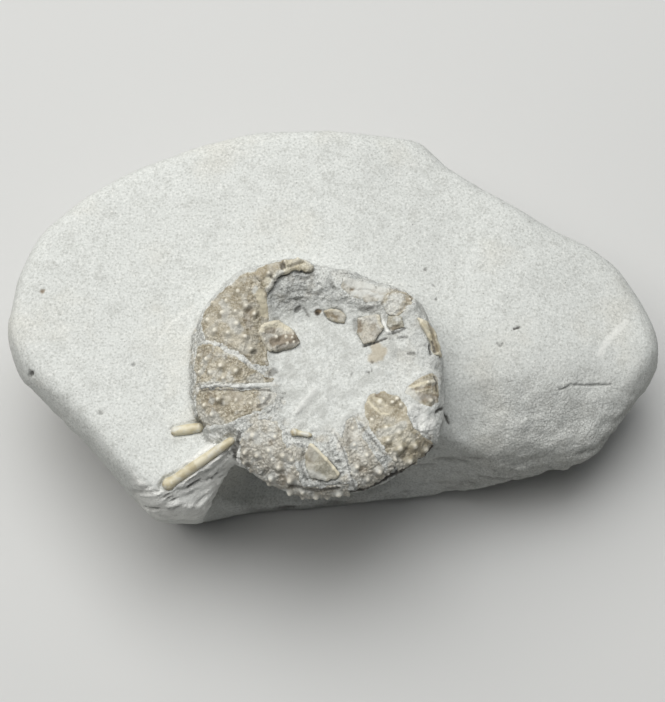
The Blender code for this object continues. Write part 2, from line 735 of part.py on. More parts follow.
def stone_body():
    """The nodule before the test is added and the notch is cut."""
    stations = rim_stations()
    rings = []
    lines = []
    for x, y, widest, shoulder, inset in stations:
        middle = Vector((min(max(x, -SPINE_HALF_LENGTH), SPINE_HALF_LENGTH), SPINE_Y))
        inward = (middle - Vector((x, y)))
        lines.append((Vector((x, y)), inward.normalized(), inward.length, widest, shoulder, inset))
    rings.append([(*(p + way * inset), -BELOW_FOOT) for p, way, run, z, w, inset in lines])
    for step in range(SIDE_STEPS):
        rise = step / SIDE_STEPS
        setback = (1.0 - rise) ** SETBACK_POWER
        rings.append([(*(p + way * inset * setback), z * rise) for p, way, run, z, w, inset in lines])
    for step in range(SHOULDER_STEPS + 1):
        turn = 0.5 * math.pi * step / SHOULDER_STEPS
        ring = []
        for p, way, run, z, width, inset in lines:
            place = p + way * width * (1.0 - math.cos(turn))
            top = top_height(place.x, place.y)
            ring.append((place.x, place.y, mix(z, top, math.sin(turn))))
        rings.append(ring)
    for fraction in TOP_FRACTIONS:
        ring = []
        for p, way, run, z, width, inset in lines:
            place = p + way * mix(width, run, fraction)
            ring.append((place.x, place.y, top_height(place.x, place.y)))
        rings.append(ring)
    return loft("nodule", rings)


def notch_cutter():
    """The notch beside the lobe, a loft between its low and high plans, run past both."""
    low_z, high_z = NOTCH_HEIGHTS
    rings = []
    for share in (-NOTCH_OVERRUN, 0.0, 1.0, 1.0 + NOTCH_OVERRUN):
        ring = []
        for (x0, y0), (x1, y1) in zip(NOTCH_LOW, NOTCH_HIGH):
            ring.append((mix(x0, x1, share), mix(y0, y1, share), mix(low_z, high_z, share)))
        rings.append(ring)
    return loft("notch", rings)


def ramp():
    """The ramp beside the long spine, as one closed block that reaches into the stone."""
    foot = [(x, y, RAMP_FOOT_HEIGHT) for x, y in RAMP_FOOT]
    return loft("ramp", [foot, list(RAMP_TOP)])


def ball(name, centre, half_sizes):
    """Ellipsoid, as a cutter's mesh."""
    shape = bmesh.new()
    place = Matrix.Translation(Vector(centre) * MM) @ Matrix.Diagonal((*(h * MM for h in half_sizes), 1.0))
    bmesh.ops.create_icosphere(shape, subdivisions=3, radius=1.0, matrix=place)
    mesh = bpy.data.meshes.new(name)
    shape.to_mesh(mesh)
    shape.free()
    return mesh


def block(name, place):
    """Unit cube under a matrix, as a cutter's mesh."""
    shape = bmesh.new()
    bmesh.ops.create_cube(shape, size=1.0, matrix=place)
    mesh = bpy.data.meshes.new(name)
    shape.to_mesh(mesh)
    shape.free()
    return mesh


def lobe_face_cutter():
    """Block whose underside is the sloping fracture of the lobe."""
    length, width, depth = (s * MM for s in LOBE_FACE_SIZE)
    place = Matrix.Translation(Vector(LOBE_FACE_POINT) * MM)
    place @= Matrix.Rotation(math.radians(LOBE_FACE_BEARING), 4, "Z")
    place @= Matrix.Rotation(math.radians(LOBE_FACE_SLOPE), 4, "X")
    place @= Matrix.Translation((0.0, -0.5 * width, 0.5 * depth))
    place @= Matrix.Diagonal((length, width, depth, 1.0))
    return block("lobe_face", place)


def roughen(mesh):
    """Moves the points of the stone along their normals: soft grain, and the rough places."""
    moved = []
    centre = Vector(HOLLOW_CENTRE)
    for point in mesh.vertices:
        place = point.co / MM
        normal = point.normal
        lift = GRAIN_RELIEF * noise.noise(place / GRAIN_LENGTH)
        front = smooth(-place.y, *ROUGH_FRONT) * smooth(place.x, *ROUGH_RIGHT)
        lift += HAMMERED_RELIEF * front * noise.noise(place / HAMMERED_LENGTH)
        reach = Vector((place - centre)[i] / HOLLOW_HALF[i] for i in range(3)).length
        worked = 1.0 - smooth(reach, *HOLLOW_REACH)
        lift += HOLLOW_RELIEF * worked * noise.noise(place / HOLLOW_LENGTH)
        bed = place.z / LEDGE_HEIGHT + LEDGE_WANDER * noise.noise(place / LEDGE_WANDER_LENGTH)
        side = 1.0 - smooth(abs(normal.z), *WALL_NORMALS)
        low = 1.0 - smooth(place.z, *LEDGE_HEIGHTS)
        lift += LEDGE_RELIEF * front * side * low * (0.5 - bed % 1.0)
        moved.append((place + normal * lift) * MM)
    for point, place in zip(mesh.vertices, moved):
        point.co = place
    mesh.update()


def stone_blank(cutters):
    """Nodule, test and ramp in one, with the notch, hollow, fracture and chip cut out."""
    body = as_cutter(add_object("nodule", stone_body(), cutters))
    drum = as_cutter(add_object("test_drum", test_drum(), cutters))
    slope = as_cutter(add_object("ramp", ramp(), cutters))
    notch = as_cutter(add_object("notch", notch_cutter(), cutters))
    hollow = as_cutter(add_object("hollow", ball("hollow", HOLLOW_CENTRE, HOLLOW_HALF), cutters))
    face = as_cutter(add_object("lobe_face", lobe_face_cutter(), cutters))
    chip = as_cutter(add_object("chip", ball("chip", CHIP_CENTRE, (CHIP_RADIUS,) * 3), cutters))
    for cutter in (notch, face, chip, hollow):
        boolean(body, cutter, "DIFFERENCE")
    boolean(body, drum, "UNION")
    boolean(body, slope, "UNION")
    remesh = body.modifiers.new("even_faces", "REMESH")
    remesh.mode = "VOXEL"
    remesh.voxel_size = VOXEL * MM
    soften = body.modifiers.new("soften", "SMOOTH")
    soften.iterations = SOFTEN_ROUNDS
    mesh = settled(body, "matrix_stone")
    roughen(mesh)
    return mesh


def make_stone(parts, cutters, pockets):
    """Builds the stone, with a flat foot and a pocket for each plate and spine."""
    mesh = stone_blank(cutters)
    mesh.materials.clear()
    mesh.materials.append(material("matrix_stone", STONE_GREY, 0.95))
    stone = add_object("matrix_stone", mesh, parts)
    fewer = stone.modifiers.new("fewer_faces", "DECIMATE")
    fewer.ratio = STONE_TRIANGLES / (2.0 * len(mesh.polygons))
    fewer.use_collapse_triangulate = True
    width, height = FOOT_BLOCK_WIDTH * MM, FOOT_BLOCK_HEIGHT * MM
    under = Matrix.Translation((0.0, 0.0, -0.5 * height)) @ Matrix.Diagonal((width, width, height, 1.0))
    boolean(stone, as_cutter(add_object("below_foot", block("below_foot", under), cutters)), "DIFFERENCE")
    for pocket in pockets:
        boolean(stone, pocket, "DIFFERENCE")


def clear_scene():
    """Removes every object that the file opened with."""
    for thing in list(bpy.data.objects):
        bpy.data.objects.remove(thing, do_unlink=True)


def new_collection(name):
    """Collection linked to the scene."""
    made = bpy.data.collections.new(name)
    bpy.context.scene.collection.children.link(made)
    return made


def main():
    """Builds the whole fossil."""
    clear_scene()
    noise.seed_set(NOISE_SEED)
    parts = new_collection(NAME)
    cutters = new_collection("cutters")
    pockets = [make_plate(plate, parts, cutters) for plate in PLATES]
    pockets += [make_spine(spine, parts, cutters) for spine in SPINES]
    make_stone(parts, cutters, pockets)


main()
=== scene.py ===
"""Dressed model of a fossil sea urchin in its stone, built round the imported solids.

Shapes are worked out in millimetres and become metres in the meshes. A place on the urchin is
given by its bearing in degrees round the urchin's axis and by its distance down the surface
from the middle of the top. Unrolled places are the same on a plane.
"""

import itertools
import logging
import math
from dataclasses import dataclass
from enum import Enum
from typing import Any, Sequence

import bmesh
import bpy
import numpy as np
from mathutils import Matrix, Vector
from mathutils.geometry import delaunay_2d_cdt


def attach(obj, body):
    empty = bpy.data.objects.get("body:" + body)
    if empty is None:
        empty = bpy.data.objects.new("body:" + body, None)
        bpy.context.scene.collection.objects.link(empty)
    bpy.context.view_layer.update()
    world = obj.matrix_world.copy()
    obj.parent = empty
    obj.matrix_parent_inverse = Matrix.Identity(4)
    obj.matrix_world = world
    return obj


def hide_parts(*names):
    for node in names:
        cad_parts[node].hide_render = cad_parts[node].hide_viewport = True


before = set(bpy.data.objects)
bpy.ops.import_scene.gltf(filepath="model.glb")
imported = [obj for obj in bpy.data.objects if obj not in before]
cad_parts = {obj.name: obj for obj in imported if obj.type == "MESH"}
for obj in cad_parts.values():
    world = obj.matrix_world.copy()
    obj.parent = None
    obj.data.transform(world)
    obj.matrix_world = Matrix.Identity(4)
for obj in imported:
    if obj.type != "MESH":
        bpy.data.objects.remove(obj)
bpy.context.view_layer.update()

MM = 0.001
BODY = "root"
GRANULE_GAP = 0.92
FINE_GAP = 0.62
ROW_GAP = 0.866
SHAKE = 0.3
LOG = logging.getLogger("fossil")

Array = np.ndarray
Colour = tuple[float, float, float, float]
Faces = list[list[int]]
Fields = dict[str, Array]
Place = tuple[float, float]
Spot = tuple[float, float, float]
Row = tuple[float, float, float, float]


# ---- numbers ---------------------------------------------------------------------------------

def smooth(value: Any, low: float, high: float) -> Any:
    """Smooth step from 0 at low to 1 at high."""
    share = np.clip((value - low) / (high - low), 0.0, 1.0)
    return share * share * (3.0 - 2.0 * share)


def between(value: Any, rise: Place, fall: Place) -> Any:
    """Smooth step up over one stretch of values and down again over another."""
    return smooth(value, *rise) * (1.0 - smooth(value, *fall))


def dome(gap: Array, radius: Any) -> Array:
    """Height of a round bead of unit height at a distance from its middle."""
    return np.sqrt(np.clip(1.0 - (gap / radius) ** 2, 0.0, 1.0))


def paint(*display: int) -> Colour:
    """Linear colour of a display colour given from 0 to 255."""
    red, green, blue = (((c / 255.0 + 0.055) / 1.055) ** 2.4 for c in display)
    return (red, green, blue, 1.0)


def polar(places: Array) -> tuple[Array, Array]:
    """Bearing in degrees and distance of places from the origin of their plane."""
    return np.degrees(np.arctan2(places[:, 1], places[:, 0])), np.linalg.norm(places, axis=1)


def path_distance(places: Array, path: Array) -> Array:
    """Distance from each place to an open path.

    Args:
        places: Places in the plane or in space, one a row.
        path: Corners of the path, one a row.

    Returns:
        One distance for each place.
    """
    best = np.full(len(places), np.inf)
    for start, end in zip(path[:-1], path[1:]):
        run = end - start
        share = np.clip((places - start) @ run / max(run @ run, 1e-9), 0.0, 1.0)
        away = np.linalg.norm(places - start - share[:, None] * run, axis=1)
        best = np.minimum(best, away)
    return best


def edge_distance(places: Array, edge: Array) -> Array:
    """Distance from each place to a closed outline."""
    return path_distance(places, np.vstack([edge, edge[:1]]))


def within(places: Array, edge: Array) -> Array:
    """Whether each place lies within a closed outline."""
    crossings = np.zeros(len(places), int)
    for (x0, y0), (x1, y1) in zip(edge, np.roll(edge, -1, axis=0)):
        spans = (y0 > places[:, 1]) != (y1 > places[:, 1])
        if abs(y1 - y0) > 1e-12:
            crossing = x0 + (x1 - x0) * (places[:, 1] - y0) / (y1 - y0)
            crossings += spans & (places[:, 0] < crossing)
    return crossings % 2 == 1


def anticlockwise(corners: Array) -> Array:
    """Corners of an outline in anticlockwise order."""
    after = np.roll(corners, -1, axis=0)
    twice_area = np.sum(corners[:, 0] * after[:, 1] - after[:, 0] * corners[:, 1])
    return corners[::-1] if twice_area < 0.0 else corners


class Grain:
    """Seeded noise and scattered beads, worked out for whole arrays of places."""

    @staticmethod
    def numbers(cells: Array, seed: int) -> Array:
        """Number from 0 to 1 that belongs to each cell of whole numbers."""
        start = (seed * 747796405 + 2891336453) & 0xFFFFFFFF
        mixed = np.full(cells.shape[:-1], start, np.uint32)
        for axis in range(cells.shape[-1]):
            cell = cells[..., axis].astype(np.int64).astype(np.uint32)
            mixed = (mixed ^ cell) * np.uint32(2654435769)
            mixed = (mixed ^ (mixed >> np.uint32(15))) * np.uint32(2246822519)
            mixed = mixed ^ (mixed >> np.uint32(13))
        return mixed / 4294967295.0

    @classmethod
    def wave(cls, places: Array, length: float, seed: int) -> Array:
        """Gradient noise of one wavelength, from about -1 to 1.

        Args:
            places: Places in the plane or in space, one a row.
            length: Size of the noise's cells.
            seed: Chooses the pattern.

        Returns:
            One value for each place.
        """
        scaled = places / length
        cell = np.floor(scaled)
        part = scaled - cell
        ease = part**3 * (part * (part * 6.0 - 15.0) + 10.0)
        total = np.zeros(len(places))
        for corner in itertools.product((0, 1), repeat=places.shape[1]):
            step = np.array(corner)
            weight = np.prod(np.where(step == 1, ease, 1.0 - ease), axis=1)
            for axis in range(places.shape[1]):
                slope = cls.numbers(cell + step, seed * 3 + axis) * 2.0 - 1.0
                total += weight * slope * (part[:, axis] - step[axis])
        return total * 1.6

    @classmethod
    def rough(cls, places: Array, length: float, octaves: int, seed: int) -> Array:
        """Sum of waves, each half as long and half as high as the one before."""
        return sum(cls.wave(places, length / 2**k, seed + k) / 2**k for k in range(octaves))

    @classmethod
    def beads(cls, places: Array, spacing: float, seed: int) -> tuple[Array, Array]:
        """Distance to the nearest of many scattered beads, and that bead's own number.

        Args:
            places: Places in the plane or in space, one a row.
            spacing: Mean distance between beads.
            seed: Chooses the pattern.

        Returns:
            The distances, and a number from 0 to 1 for each nearest bead.
        """
        cell = np.floor(places / spacing)
        axes = range(places.shape[1])
        best = np.full(len(places), np.inf)
        mark = np.zeros(len(places))
        for corner in itertools.product((-1, 0, 1), repeat=len(axes)):
            there = cell + np.array(corner)
            jitter = np.stack([cls.numbers(there, seed * 5 + a) for a in axes], axis=1)
            gap = np.linalg.norm(places - (there + 0.1 + 0.8 * jitter) * spacing, axis=1)
            closer = gap < best
            best = np.where(closer, gap, best)
            mark = np.where(closer, cls.numbers(there, seed * 5 + 4), mark)
        return best, mark


class Pattern(Enum):
    """Named patterns of noise: the longest wave, how many octaves, and the seed."""

    TEST_SWELL = (7.0, 2, 201)
    TEST_DENTS = (2.6, 2, 205)
    DAUB_EDGE = (1.1, 2, 217)
    MUD_SWELL = (6.0, 4, 41)
    MUD_DENTS = (1.2, 3, 47)
    BROKEN = (1.5, 4, 59)
    MUD_PATCHES = (1.7, 1, 61)
    LEDGES = (1.7, 4, 63)
    MUD_SHADE = (4.0, 1, 67)
    TAN = (4.2, 3, 71)
    STREAKS = (4.5, 4, 73)
    GROOVES = (1.1, 3, 77)
    SWELL = (8.0, 3, 81)
    FRONT_DENTS = (3.2, 3, 87)
    SIDE_DENTS = (5.0, 4, 89)
    RIDGES = (1.5, 4, 91)
    WALL = (2.4, 3, 93)
    FRONT_SHADE = (6.0, 4, 95)
    MARK_EDGE = (0.8, 2, 97)

    def at(self, places: Array) -> Array:
        """Value of the pattern at each place, from about -1 to 1."""
        return Grain.rough(places, *self.value)


# ---- shape of the urchin ---------------------------------------------------------------------

@dataclass
class UrchinForm:
    """Smooth surface of the urchin's test, as radius and height by bearing and distance.

    Each row of the rim holds a bearing, the rim's radius and height, and the girth's radius.
    """

    axis: Place = (-5.0, -19.0)
    floor_height: float = 58.0
    girth_height: float = 50.5
    underside_radius: float = 12.0
    underside_depth: float = 14.0
    rim: tuple[Row, ...] = (
        (0, 25, 58.5, 31.3), (35, 25.5, 61, 31.3), (60, 21.5, 61, 27.8), (85, 21.5, 62.5, 27.3),
        (110, 24.5, 64.8, 30.2), (130, 25.5, 64.2, 33), (150, 22, 62.5, 33.5), (180, 20, 61, 32),
        (210, 20, 59.5, 32.5), (235, 18.5, 59, 30), (270, 18.5, 58.5, 31.3),
        (300, 20, 58.5, 32.3), (330, 24, 58.5, 34), (360, 25, 58.5, 31.3),
    )
    level_radius: Place = (13.0, 22.0)
    bearing_step: float = 0.5
    distance_step: float = 0.25
    tangent_step: float = 0.8
    reach: float = 52.0

    def __post_init__(self) -> None:
        """Samples the surface evenly along each bearing."""
        self.distances = np.arange(0.0, self.reach, self.distance_step)
        radii, heights = [], []
        for bearing in np.arange(0.0, 360.0, self.bearing_step):
            profile = self.profile(bearing)
            steps = np.linalg.norm(np.diff(profile, axis=0), axis=1)
            along = np.concatenate([[0.0], np.cumsum(steps)])
            radii.append(np.interp(self.distances, along, profile[:, 0]))
            heights.append(np.interp(self.distances, along, profile[:, 1]))
        self.radii = np.array(radii)
        self.heights = np.array(heights)

    def profile(self, bearing: float) -> Array:
        """Radius and height from the middle of the top down one bearing."""
        low = max(i for i, row in enumerate(self.rim[:-1]) if row[0] <= bearing)
        here, after = self.rim[low], self.rim[low + 1]
        share = smooth(bearing, here[0], after[0])
        radius, height, girth = (a + (b - a) * share for a, b in zip(here[1:], after[1:]))
        rows = [(0.0, self.floor_height)]
        for inner in np.linspace(0.0, 1.0, 7):
            rise = (height - self.floor_height) * smooth(inner, 0.0, 1.0)
            rows.append((radius * (0.5 + 0.5 * inner), self.floor_height + rise))
        for turn in np.linspace(0.0, 0.5 * math.pi, 11)[1:]:
            rows.append((radius + (girth - radius) * math.sin(turn),
                         self.girth_height + (height - self.girth_height) * math.cos(turn)))
        for turn in np.linspace(0.0, 0.5 * math.pi, 7)[1:]:
            width = (girth - self.underside_radius) * math.cos(turn)
            rows.append((self.underside_radius + width,
                         self.girth_height - self.underside_depth * math.sin(turn)))
        return np.array(rows)

    def section(self, bearing: Array, distance: Array) -> tuple[Array, Array]:
        """Radius and height of the smooth surface at bearings in degrees and distances."""
        turn = (bearing % 360.0) / self.bearing_step
        low = np.floor(turn).astype(int) % len(self.radii)
        high = (low + 1) % len(self.radii)
        turn_share = turn - np.floor(turn)
        run = np.clip(distance / self.distance_step, 0.0, len(self.distances) - 1.001)
        near = np.floor(run).astype(int)
        share = run - near
        found = []
        for table in (self.radii, self.heights):
            at_low = table[low, near] * (1.0 - share) + table[low, near + 1] * share
            at_high = table[high, near] * (1.0 - share) + table[high, near + 1] * share
            found.append(at_low * (1.0 - turn_share) + at_high * turn_share)
        return found[0], found[1]

    @staticmethod
    def flat(bearing: Any, distance: Any) -> Array:
        """Place on the surface unrolled onto a plane."""
        turn = np.radians(bearing)
        return np.stack([distance * np.cos(turn), distance * np.sin(turn)], axis=-1)

    def corners(self, path: Sequence[Place]) -> Array:
        """Unrolled places of a path given by bearing and distance."""
        return np.array([self.flat(bearing, distance) for bearing, distance in path])

    def rugged(self, flat: Array) -> Array:
        """Unevenness shared by the plates and the mud, outside the level middle."""
        outer = smooth(np.linalg.norm(flat, axis=1), *self.level_radius)
        return outer * (0.5 * Pattern.TEST_SWELL.at(flat) + 0.22 * Pattern.TEST_DENTS.at(flat))

    def place(self, flat: Array, lift: Any) -> Array:
        """Points in space over unrolled places.

        Args:
            flat: Unrolled places, one a row.
            lift: Height off the surface, one for each place or one for all.

        Returns:
            Points in millimetres, one a row.
        """
        lift = lift + self.rugged(flat)
        bearing, distance = polar(flat)
        before = self.section(bearing, np.maximum(distance - self.tangent_step, 0.0))
        after = self.section(bearing, distance + self.tangent_step)
        run, rise = after[0] - before[0], after[1] - before[1]
        length = np.hypot(run, rise)
        radius, height = self.section(bearing, distance)
        radius, height = radius - rise / length * lift, height + run / length * lift
        turn = np.radians(bearing)
        x, y = self.axis[0] + radius * np.cos(turn), self.axis[1] + radius * np.sin(turn)
        return np.stack([x, y, height], axis=1)

    def locate(self, points: Array) -> tuple[Array, Array]:
        """Unrolled places and lifts of points near the surface.

        Args:
            points: Points in millimetres, one a row.

        Returns:
            The unrolled places, and the height of each point off the surface.
        """
        flats, lifts = [], []
        for batch in np.array_split(points, max(1, len(points) // 8000)):
            bearing, radius = polar(batch[:, :2] - np.array(self.axis))
            row = np.round((bearing % 360.0) / self.bearing_step).astype(int) % len(self.radii)
            gap = np.hypot(self.radii[row] - radius[:, None], self.heights[row] - batch[:, 2:3])
            distance = self.distances[np.argmin(gap, axis=1)]
            near = self.section(bearing, distance)
            after = self.section(bearing, distance + self.tangent_step)
            run, rise = after[0] - near[0], after[1] - near[1]
            length = np.maximum(np.hypot(run, rise), 1e-6)
            out, up = radius - near[0], batch[:, 2] - near[1]
            flats.append(self.flat(bearing, distance + (out * run + up * rise) / length))
            lifts.append((up * run - out * rise) / length)
        return np.vstack(flats), np.concatenate(lifts)


# ---- meshes ----------------------------------------------------------------------------------

def closed_mesh(name: str, points: Array, faces: Faces) -> bpy.types.Mesh:
    """Mesh of points in millimetres, with its faces turned outwards."""
    mesh = bpy.data.meshes.new(name)
    mesh.from_pydata(points * MM, [], faces)
    shape = bmesh.new()
    shape.from_mesh(mesh)
    bmesh.ops.recalc_face_normals(shape, faces=shape.faces)
    shape.to_mesh(mesh)
    shape.free()
    return mesh


def link(name: str, data: Any) -> bpy.types.Object:
    """New object in the scene."""
    made = bpy.data.objects.new(name, data)
    bpy.context.scene.collection.objects.link(made)
    return made


def make_piece(name: str, mesh: bpy.types.Mesh, fields: Fields) -> bpy.types.Object:
    """Smooth-shaded object of a mesh, riding on the stone's body.

    Args:
        name: Name of the piece.
        mesh: Its mesh.
        fields: Values from 0 to 1 at the mesh's points, by name, that the finish reads.

    Returns:
        The object.
    """
    for field, values in fields.items():
        layer = mesh.attributes.new(field, "FLOAT", "POINT")
        layer.data.foreach_set("value", np.clip(values, 0.0, 1.0).astype(np.float32))
    mesh.shade_smooth()
    made = link(name, mesh)
    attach(made, BODY)
    return made


def band(high: Array, low: Array) -> Faces:
    """Four-cornered faces between two rings of corner numbers."""
    return np.stack([np.roll(high, -1), high, low, np.roll(low, -1)], axis=1).tolist()


def lattice(edge: Array, spacing: float, margin: float, seed: int) -> Array:
    """Evenly spread places within an outline, a little shaken.

    Args:
        edge: The outline, one corner a row.
        spacing: Distance between places.
        margin: Least distance to the outline.
        seed: Chooses the shake.

    Returns:
        The places, one a row.
    """
    low, high = edge.min(0), edge.max(0)
    rows = np.arange(low[1], high[1], spacing * ROW_GAP)
    columns = np.arange(low[0], high[0] + spacing, spacing)
    grid_x, grid_y = np.meshgrid(columns, rows)
    grid_x = grid_x + 0.5 * spacing * (np.arange(len(rows)) % 2)[:, None]
    places = np.stack([grid_x.ravel(), grid_y.ravel()], axis=1)
    cells = np.round(places / spacing * 2.0)
    shake = np.stack([Grain.numbers(cells, seed + a) - 0.5 for a in range(2)], axis=1)
    places = places + shake * spacing * SHAKE
    places = places[within(places, edge)]
    return places[edge_distance(places, edge) > margin]


def fill(edge: Array, inner: Array) -> tuple[Array, Faces, Array]:
    """Triangles that fill an outline.

    Args:
        edge: The outline, one corner a row.
        inner: Places within it, one a row.

    Returns:
        The places, the triangles, and where the outline's corners went.
    """
    count = len(edge)
    places = [Vector(p) for p in np.vstack([edge, inner])]
    rim = [(i, (i + 1) % count) for i in range(count)]
    points, _, faces, origin, _, _ = delaunay_2d_cdt(places, rim, [], 1, 1e-6)
    moved = {old: new for new, olds in enumerate(origin) for old in olds}
    places = np.array([tuple(p) for p in points])
    return places, [list(f) for f in faces], np.array([moved[i] for i in range(count)])


# ---- finishes --------------------------------------------------------------------------------

class Value:
    """A number that varies over a surface; arithmetic on it adds Math nodes."""

    def __init__(self, sheet: "Sheet", socket: bpy.types.NodeSocket) -> None:
        """Wraps an output socket."""
        self.sheet = sheet
        self.socket = socket

    def _math(self, operation: str, first: Any, second: Any) -> "Value":
        """Result of a Math node."""
        made = self.sheet.node("ShaderNodeMath", {"operation": operation}, {0: first, 1: second})
        return Value(self.sheet, made.outputs[0])

    def __add__(self, other: Any) -> "Value":
        """Sum."""
        return self._math("ADD", self, other)

    def __sub__(self, other: Any) -> "Value":
        """Difference."""
        return self._math("SUBTRACT", self, other)

    def __rsub__(self, other: Any) -> "Value":
        """Difference from a number."""
        return self._math("SUBTRACT", other, self)

    def __mul__(self, other: Any) -> "Value":
        """Product."""
        return self._math("MULTIPLY", self, other)

    __radd__ = __add__
    __rmul__ = __mul__

    def step(self, low: float, high: float, start: float = 0.0, end: float = 1.0) -> "Value":
        """Smooth step between two values as this one goes from low to high."""
        sockets = {"Value": self, "From Min": low, "From Max": high, "To Min": start, "To Max": end}
        made = self.sheet.node("ShaderNodeMapRange", {"interpolation_type": "SMOOTHSTEP"}, sockets)
        return Value(self.sheet, made.outputs[0])


class Sheet:
    """One material under construction."""

    def __init__(self, name: str, roughness: float, specular: float = 0.5) -> None:
        """Starts a material with one Principled shader and its coordinates in millimetres."""
        self.material = bpy.data.materials.new(name)
        self.material.use_nodes = True
        self.tree = self.material.node_tree
        self.inputs = self.tree.nodes["Principled BSDF"].inputs
        self.feed(self.inputs["Roughness"], roughness)
        self.feed(self.inputs["Specular IOR Level"], specular)
        where = self.node("ShaderNodeTexCoord", {}, {}).outputs["Object"]
        scale = {0: where, "Scale": 1.0 / MM}
        self.place = self.node("ShaderNodeVectorMath", {"operation": "SCALE"}, scale).outputs[0]

    def node(self, kind: str, settings: dict[str, Any], sockets: dict[Any, Any]) -> bpy.types.Node:
        """Adds a node.

        Args:
            kind: The node's type.
            settings: Its properties, which are set first.
            sockets: Values or links of its inputs, by name or number.

        Returns:
            The node.
        """
        made = self.tree.nodes.new(kind)
        for name, setting in settings.items():
            setattr(made, name, setting)
        for key, value in sockets.items():
            self.feed(made.inputs[key], value)
        return made

    def feed(self, socket: bpy.types.NodeSocket, value: Any) -> None:
        """Links or sets one input."""
        if isinstance(value, Value):
            self.tree.links.new(value.socket, socket)
        elif isinstance(value, bpy.types.NodeSocket):
            self.tree.links.new(value, socket)
        else:
            socket.default_value = value

    def noise(self, length: float, detail: float = 3.0, roughness: float = 0.55) -> Value:
        """Noise from 0 to 1 of a given wavelength in millimetres."""
        sockets = {"Vector": self.place, "Scale": 1.0 / length, "Detail": detail,
                   "Roughness": roughness}
        return Value(self, self.node("ShaderNodeTexNoise", {}, sockets).outputs[0])

    def cells(self, length: float) -> Value:
        """Distance to scattered points a given length apart, in units of that length."""
        sockets = {"Vector": self.place, "Scale": 1.0 / length}
        return Value(self, self.node("ShaderNodeTexVoronoi", {}, sockets).outputs["Distance"])

    def field(self, name: str) -> Value:
        """Value stored at the mesh's points."""
        made = self.node("ShaderNodeAttribute", {"attribute_name": name}, {})
        return Value(self, made.outputs["Fac"])

    def coat(self, base: Colour, *layers: tuple[Colour, Any]) -> None:
        """Sets what colours the surface.

        Args:
            base: The colour below all others.
            layers: Colours laid over it in turn, each with how much it covers.
        """
        colour = base
        for layer, share in layers:
            sockets = {0: share, 6: colour, 7: layer}
            colour = self.node("ShaderNodeMix", {"data_type": "RGBA"}, sockets).outputs[2]
        self.feed(self.inputs["Base Color"], colour)

    def bump(self, height: Value, depth: float) -> None:
        """Fine relief of a given depth in millimetres."""
        sockets = {"Strength": 1.0, "Distance": depth * MM, "Height": height}
        self.feed(self.inputs["Normal"], self.node("ShaderNodeBump", {}, sockets).outputs[0])


@dataclass(frozen=True)
class Limestone:
    """Pale grey, fine-grained mudstone with dust, specks, stains, and painted shade darkening its
    cracks, pits and hollows.
    """

    pale: Colour = paint(204, 206, 202)
    deep: Colour = paint(174, 175, 170)
    warm: Colour = paint(204, 201, 190)
    white: Colour = paint(230, 230, 225)
    grime: Colour = paint(128, 126, 119)
    dark: Colour = paint(62, 59, 54)
    brown: Colour = paint(118, 98, 72)
    shell: Colour = paint(172, 160, 136)

    def material(self) -> bpy.types.Material:
        """Makes the finish."""
        sheet = Sheet("limestone", 0.93, 0.2)
        mottle = sheet.noise(3.2, 5.0, 0.62)
        grit = sheet.noise(0.62, 2.0, 0.6)
        speck = sheet.noise(0.34, 2.0, 0.7)
        gritty = sheet.field("grit")
        # gaps: painted shade between the grains, where the bump is low
        gaps = sheet.cells(0.66).step(0.4, 0.62) * gritty
        stains = sheet.cells(0.9).step(0.2, 0.1) * mottle.step(0.42, 0.62)
        pits = sheet.cells(2.6).step(0.085, 0.05) * mottle.step(0.5, 0.6)
        sheet.coat(
            self.pale,
            (self.deep, mottle.step(0.45, 0.75) * 0.5),
            (self.warm, sheet.noise(22.0, 4.0).step(0.5, 0.7) * 0.4),
            (self.deep, grit.step(0.5, 0.68) * 0.75),
            (self.white, grit.step(0.45, 0.3) * 0.55),
            (self.deep, sheet.field("shade")),
            (self.grime, speck.step(0.54, 0.66) * (gritty * 0.42 + 0.2)),
            (self.white, speck.step(0.46, 0.36) * (gritty * 0.5 + 0.12)),
            (self.dark, gaps * 0.2),
            (self.grime, stains * 0.5),
            (self.dark, pits * 0.55),
            (self.shell, sheet.field("tan")),
            # white field: pale mud and white lines, with painted highlights on granule tops and
            # painted light on the lobe face
            (self.white, sheet.field("white")),
            (self.brown, sheet.field("brown")),
            # painted shade: dark in the cracks, pits, gaps and hollows
            (self.dark, sheet.field("crevice")),
        )
        coarse = sheet.noise(1.5, 3.0, 0.6) * gritty
        sheet.bump(grit * 0.8 + mottle + speck * 0.3 + coarse * 2.2 - gaps * 0.5, 0.15)
        return sheet.material


class ShellTone(Enum):
    """Look of a piece of shell: its slot, its body colour and its paler colour."""

    TAN = ("tan_shell", paint(149, 140, 119), paint(189, 182, 164))
    GREY = ("grey_shell", paint(168, 164, 153), paint(200, 198, 189))
    CREAM = ("cream_shell", paint(192, 183, 157), paint(220, 214, 194))
    DUN = ("cream_shell", paint(150, 147, 133), paint(172, 168, 153))


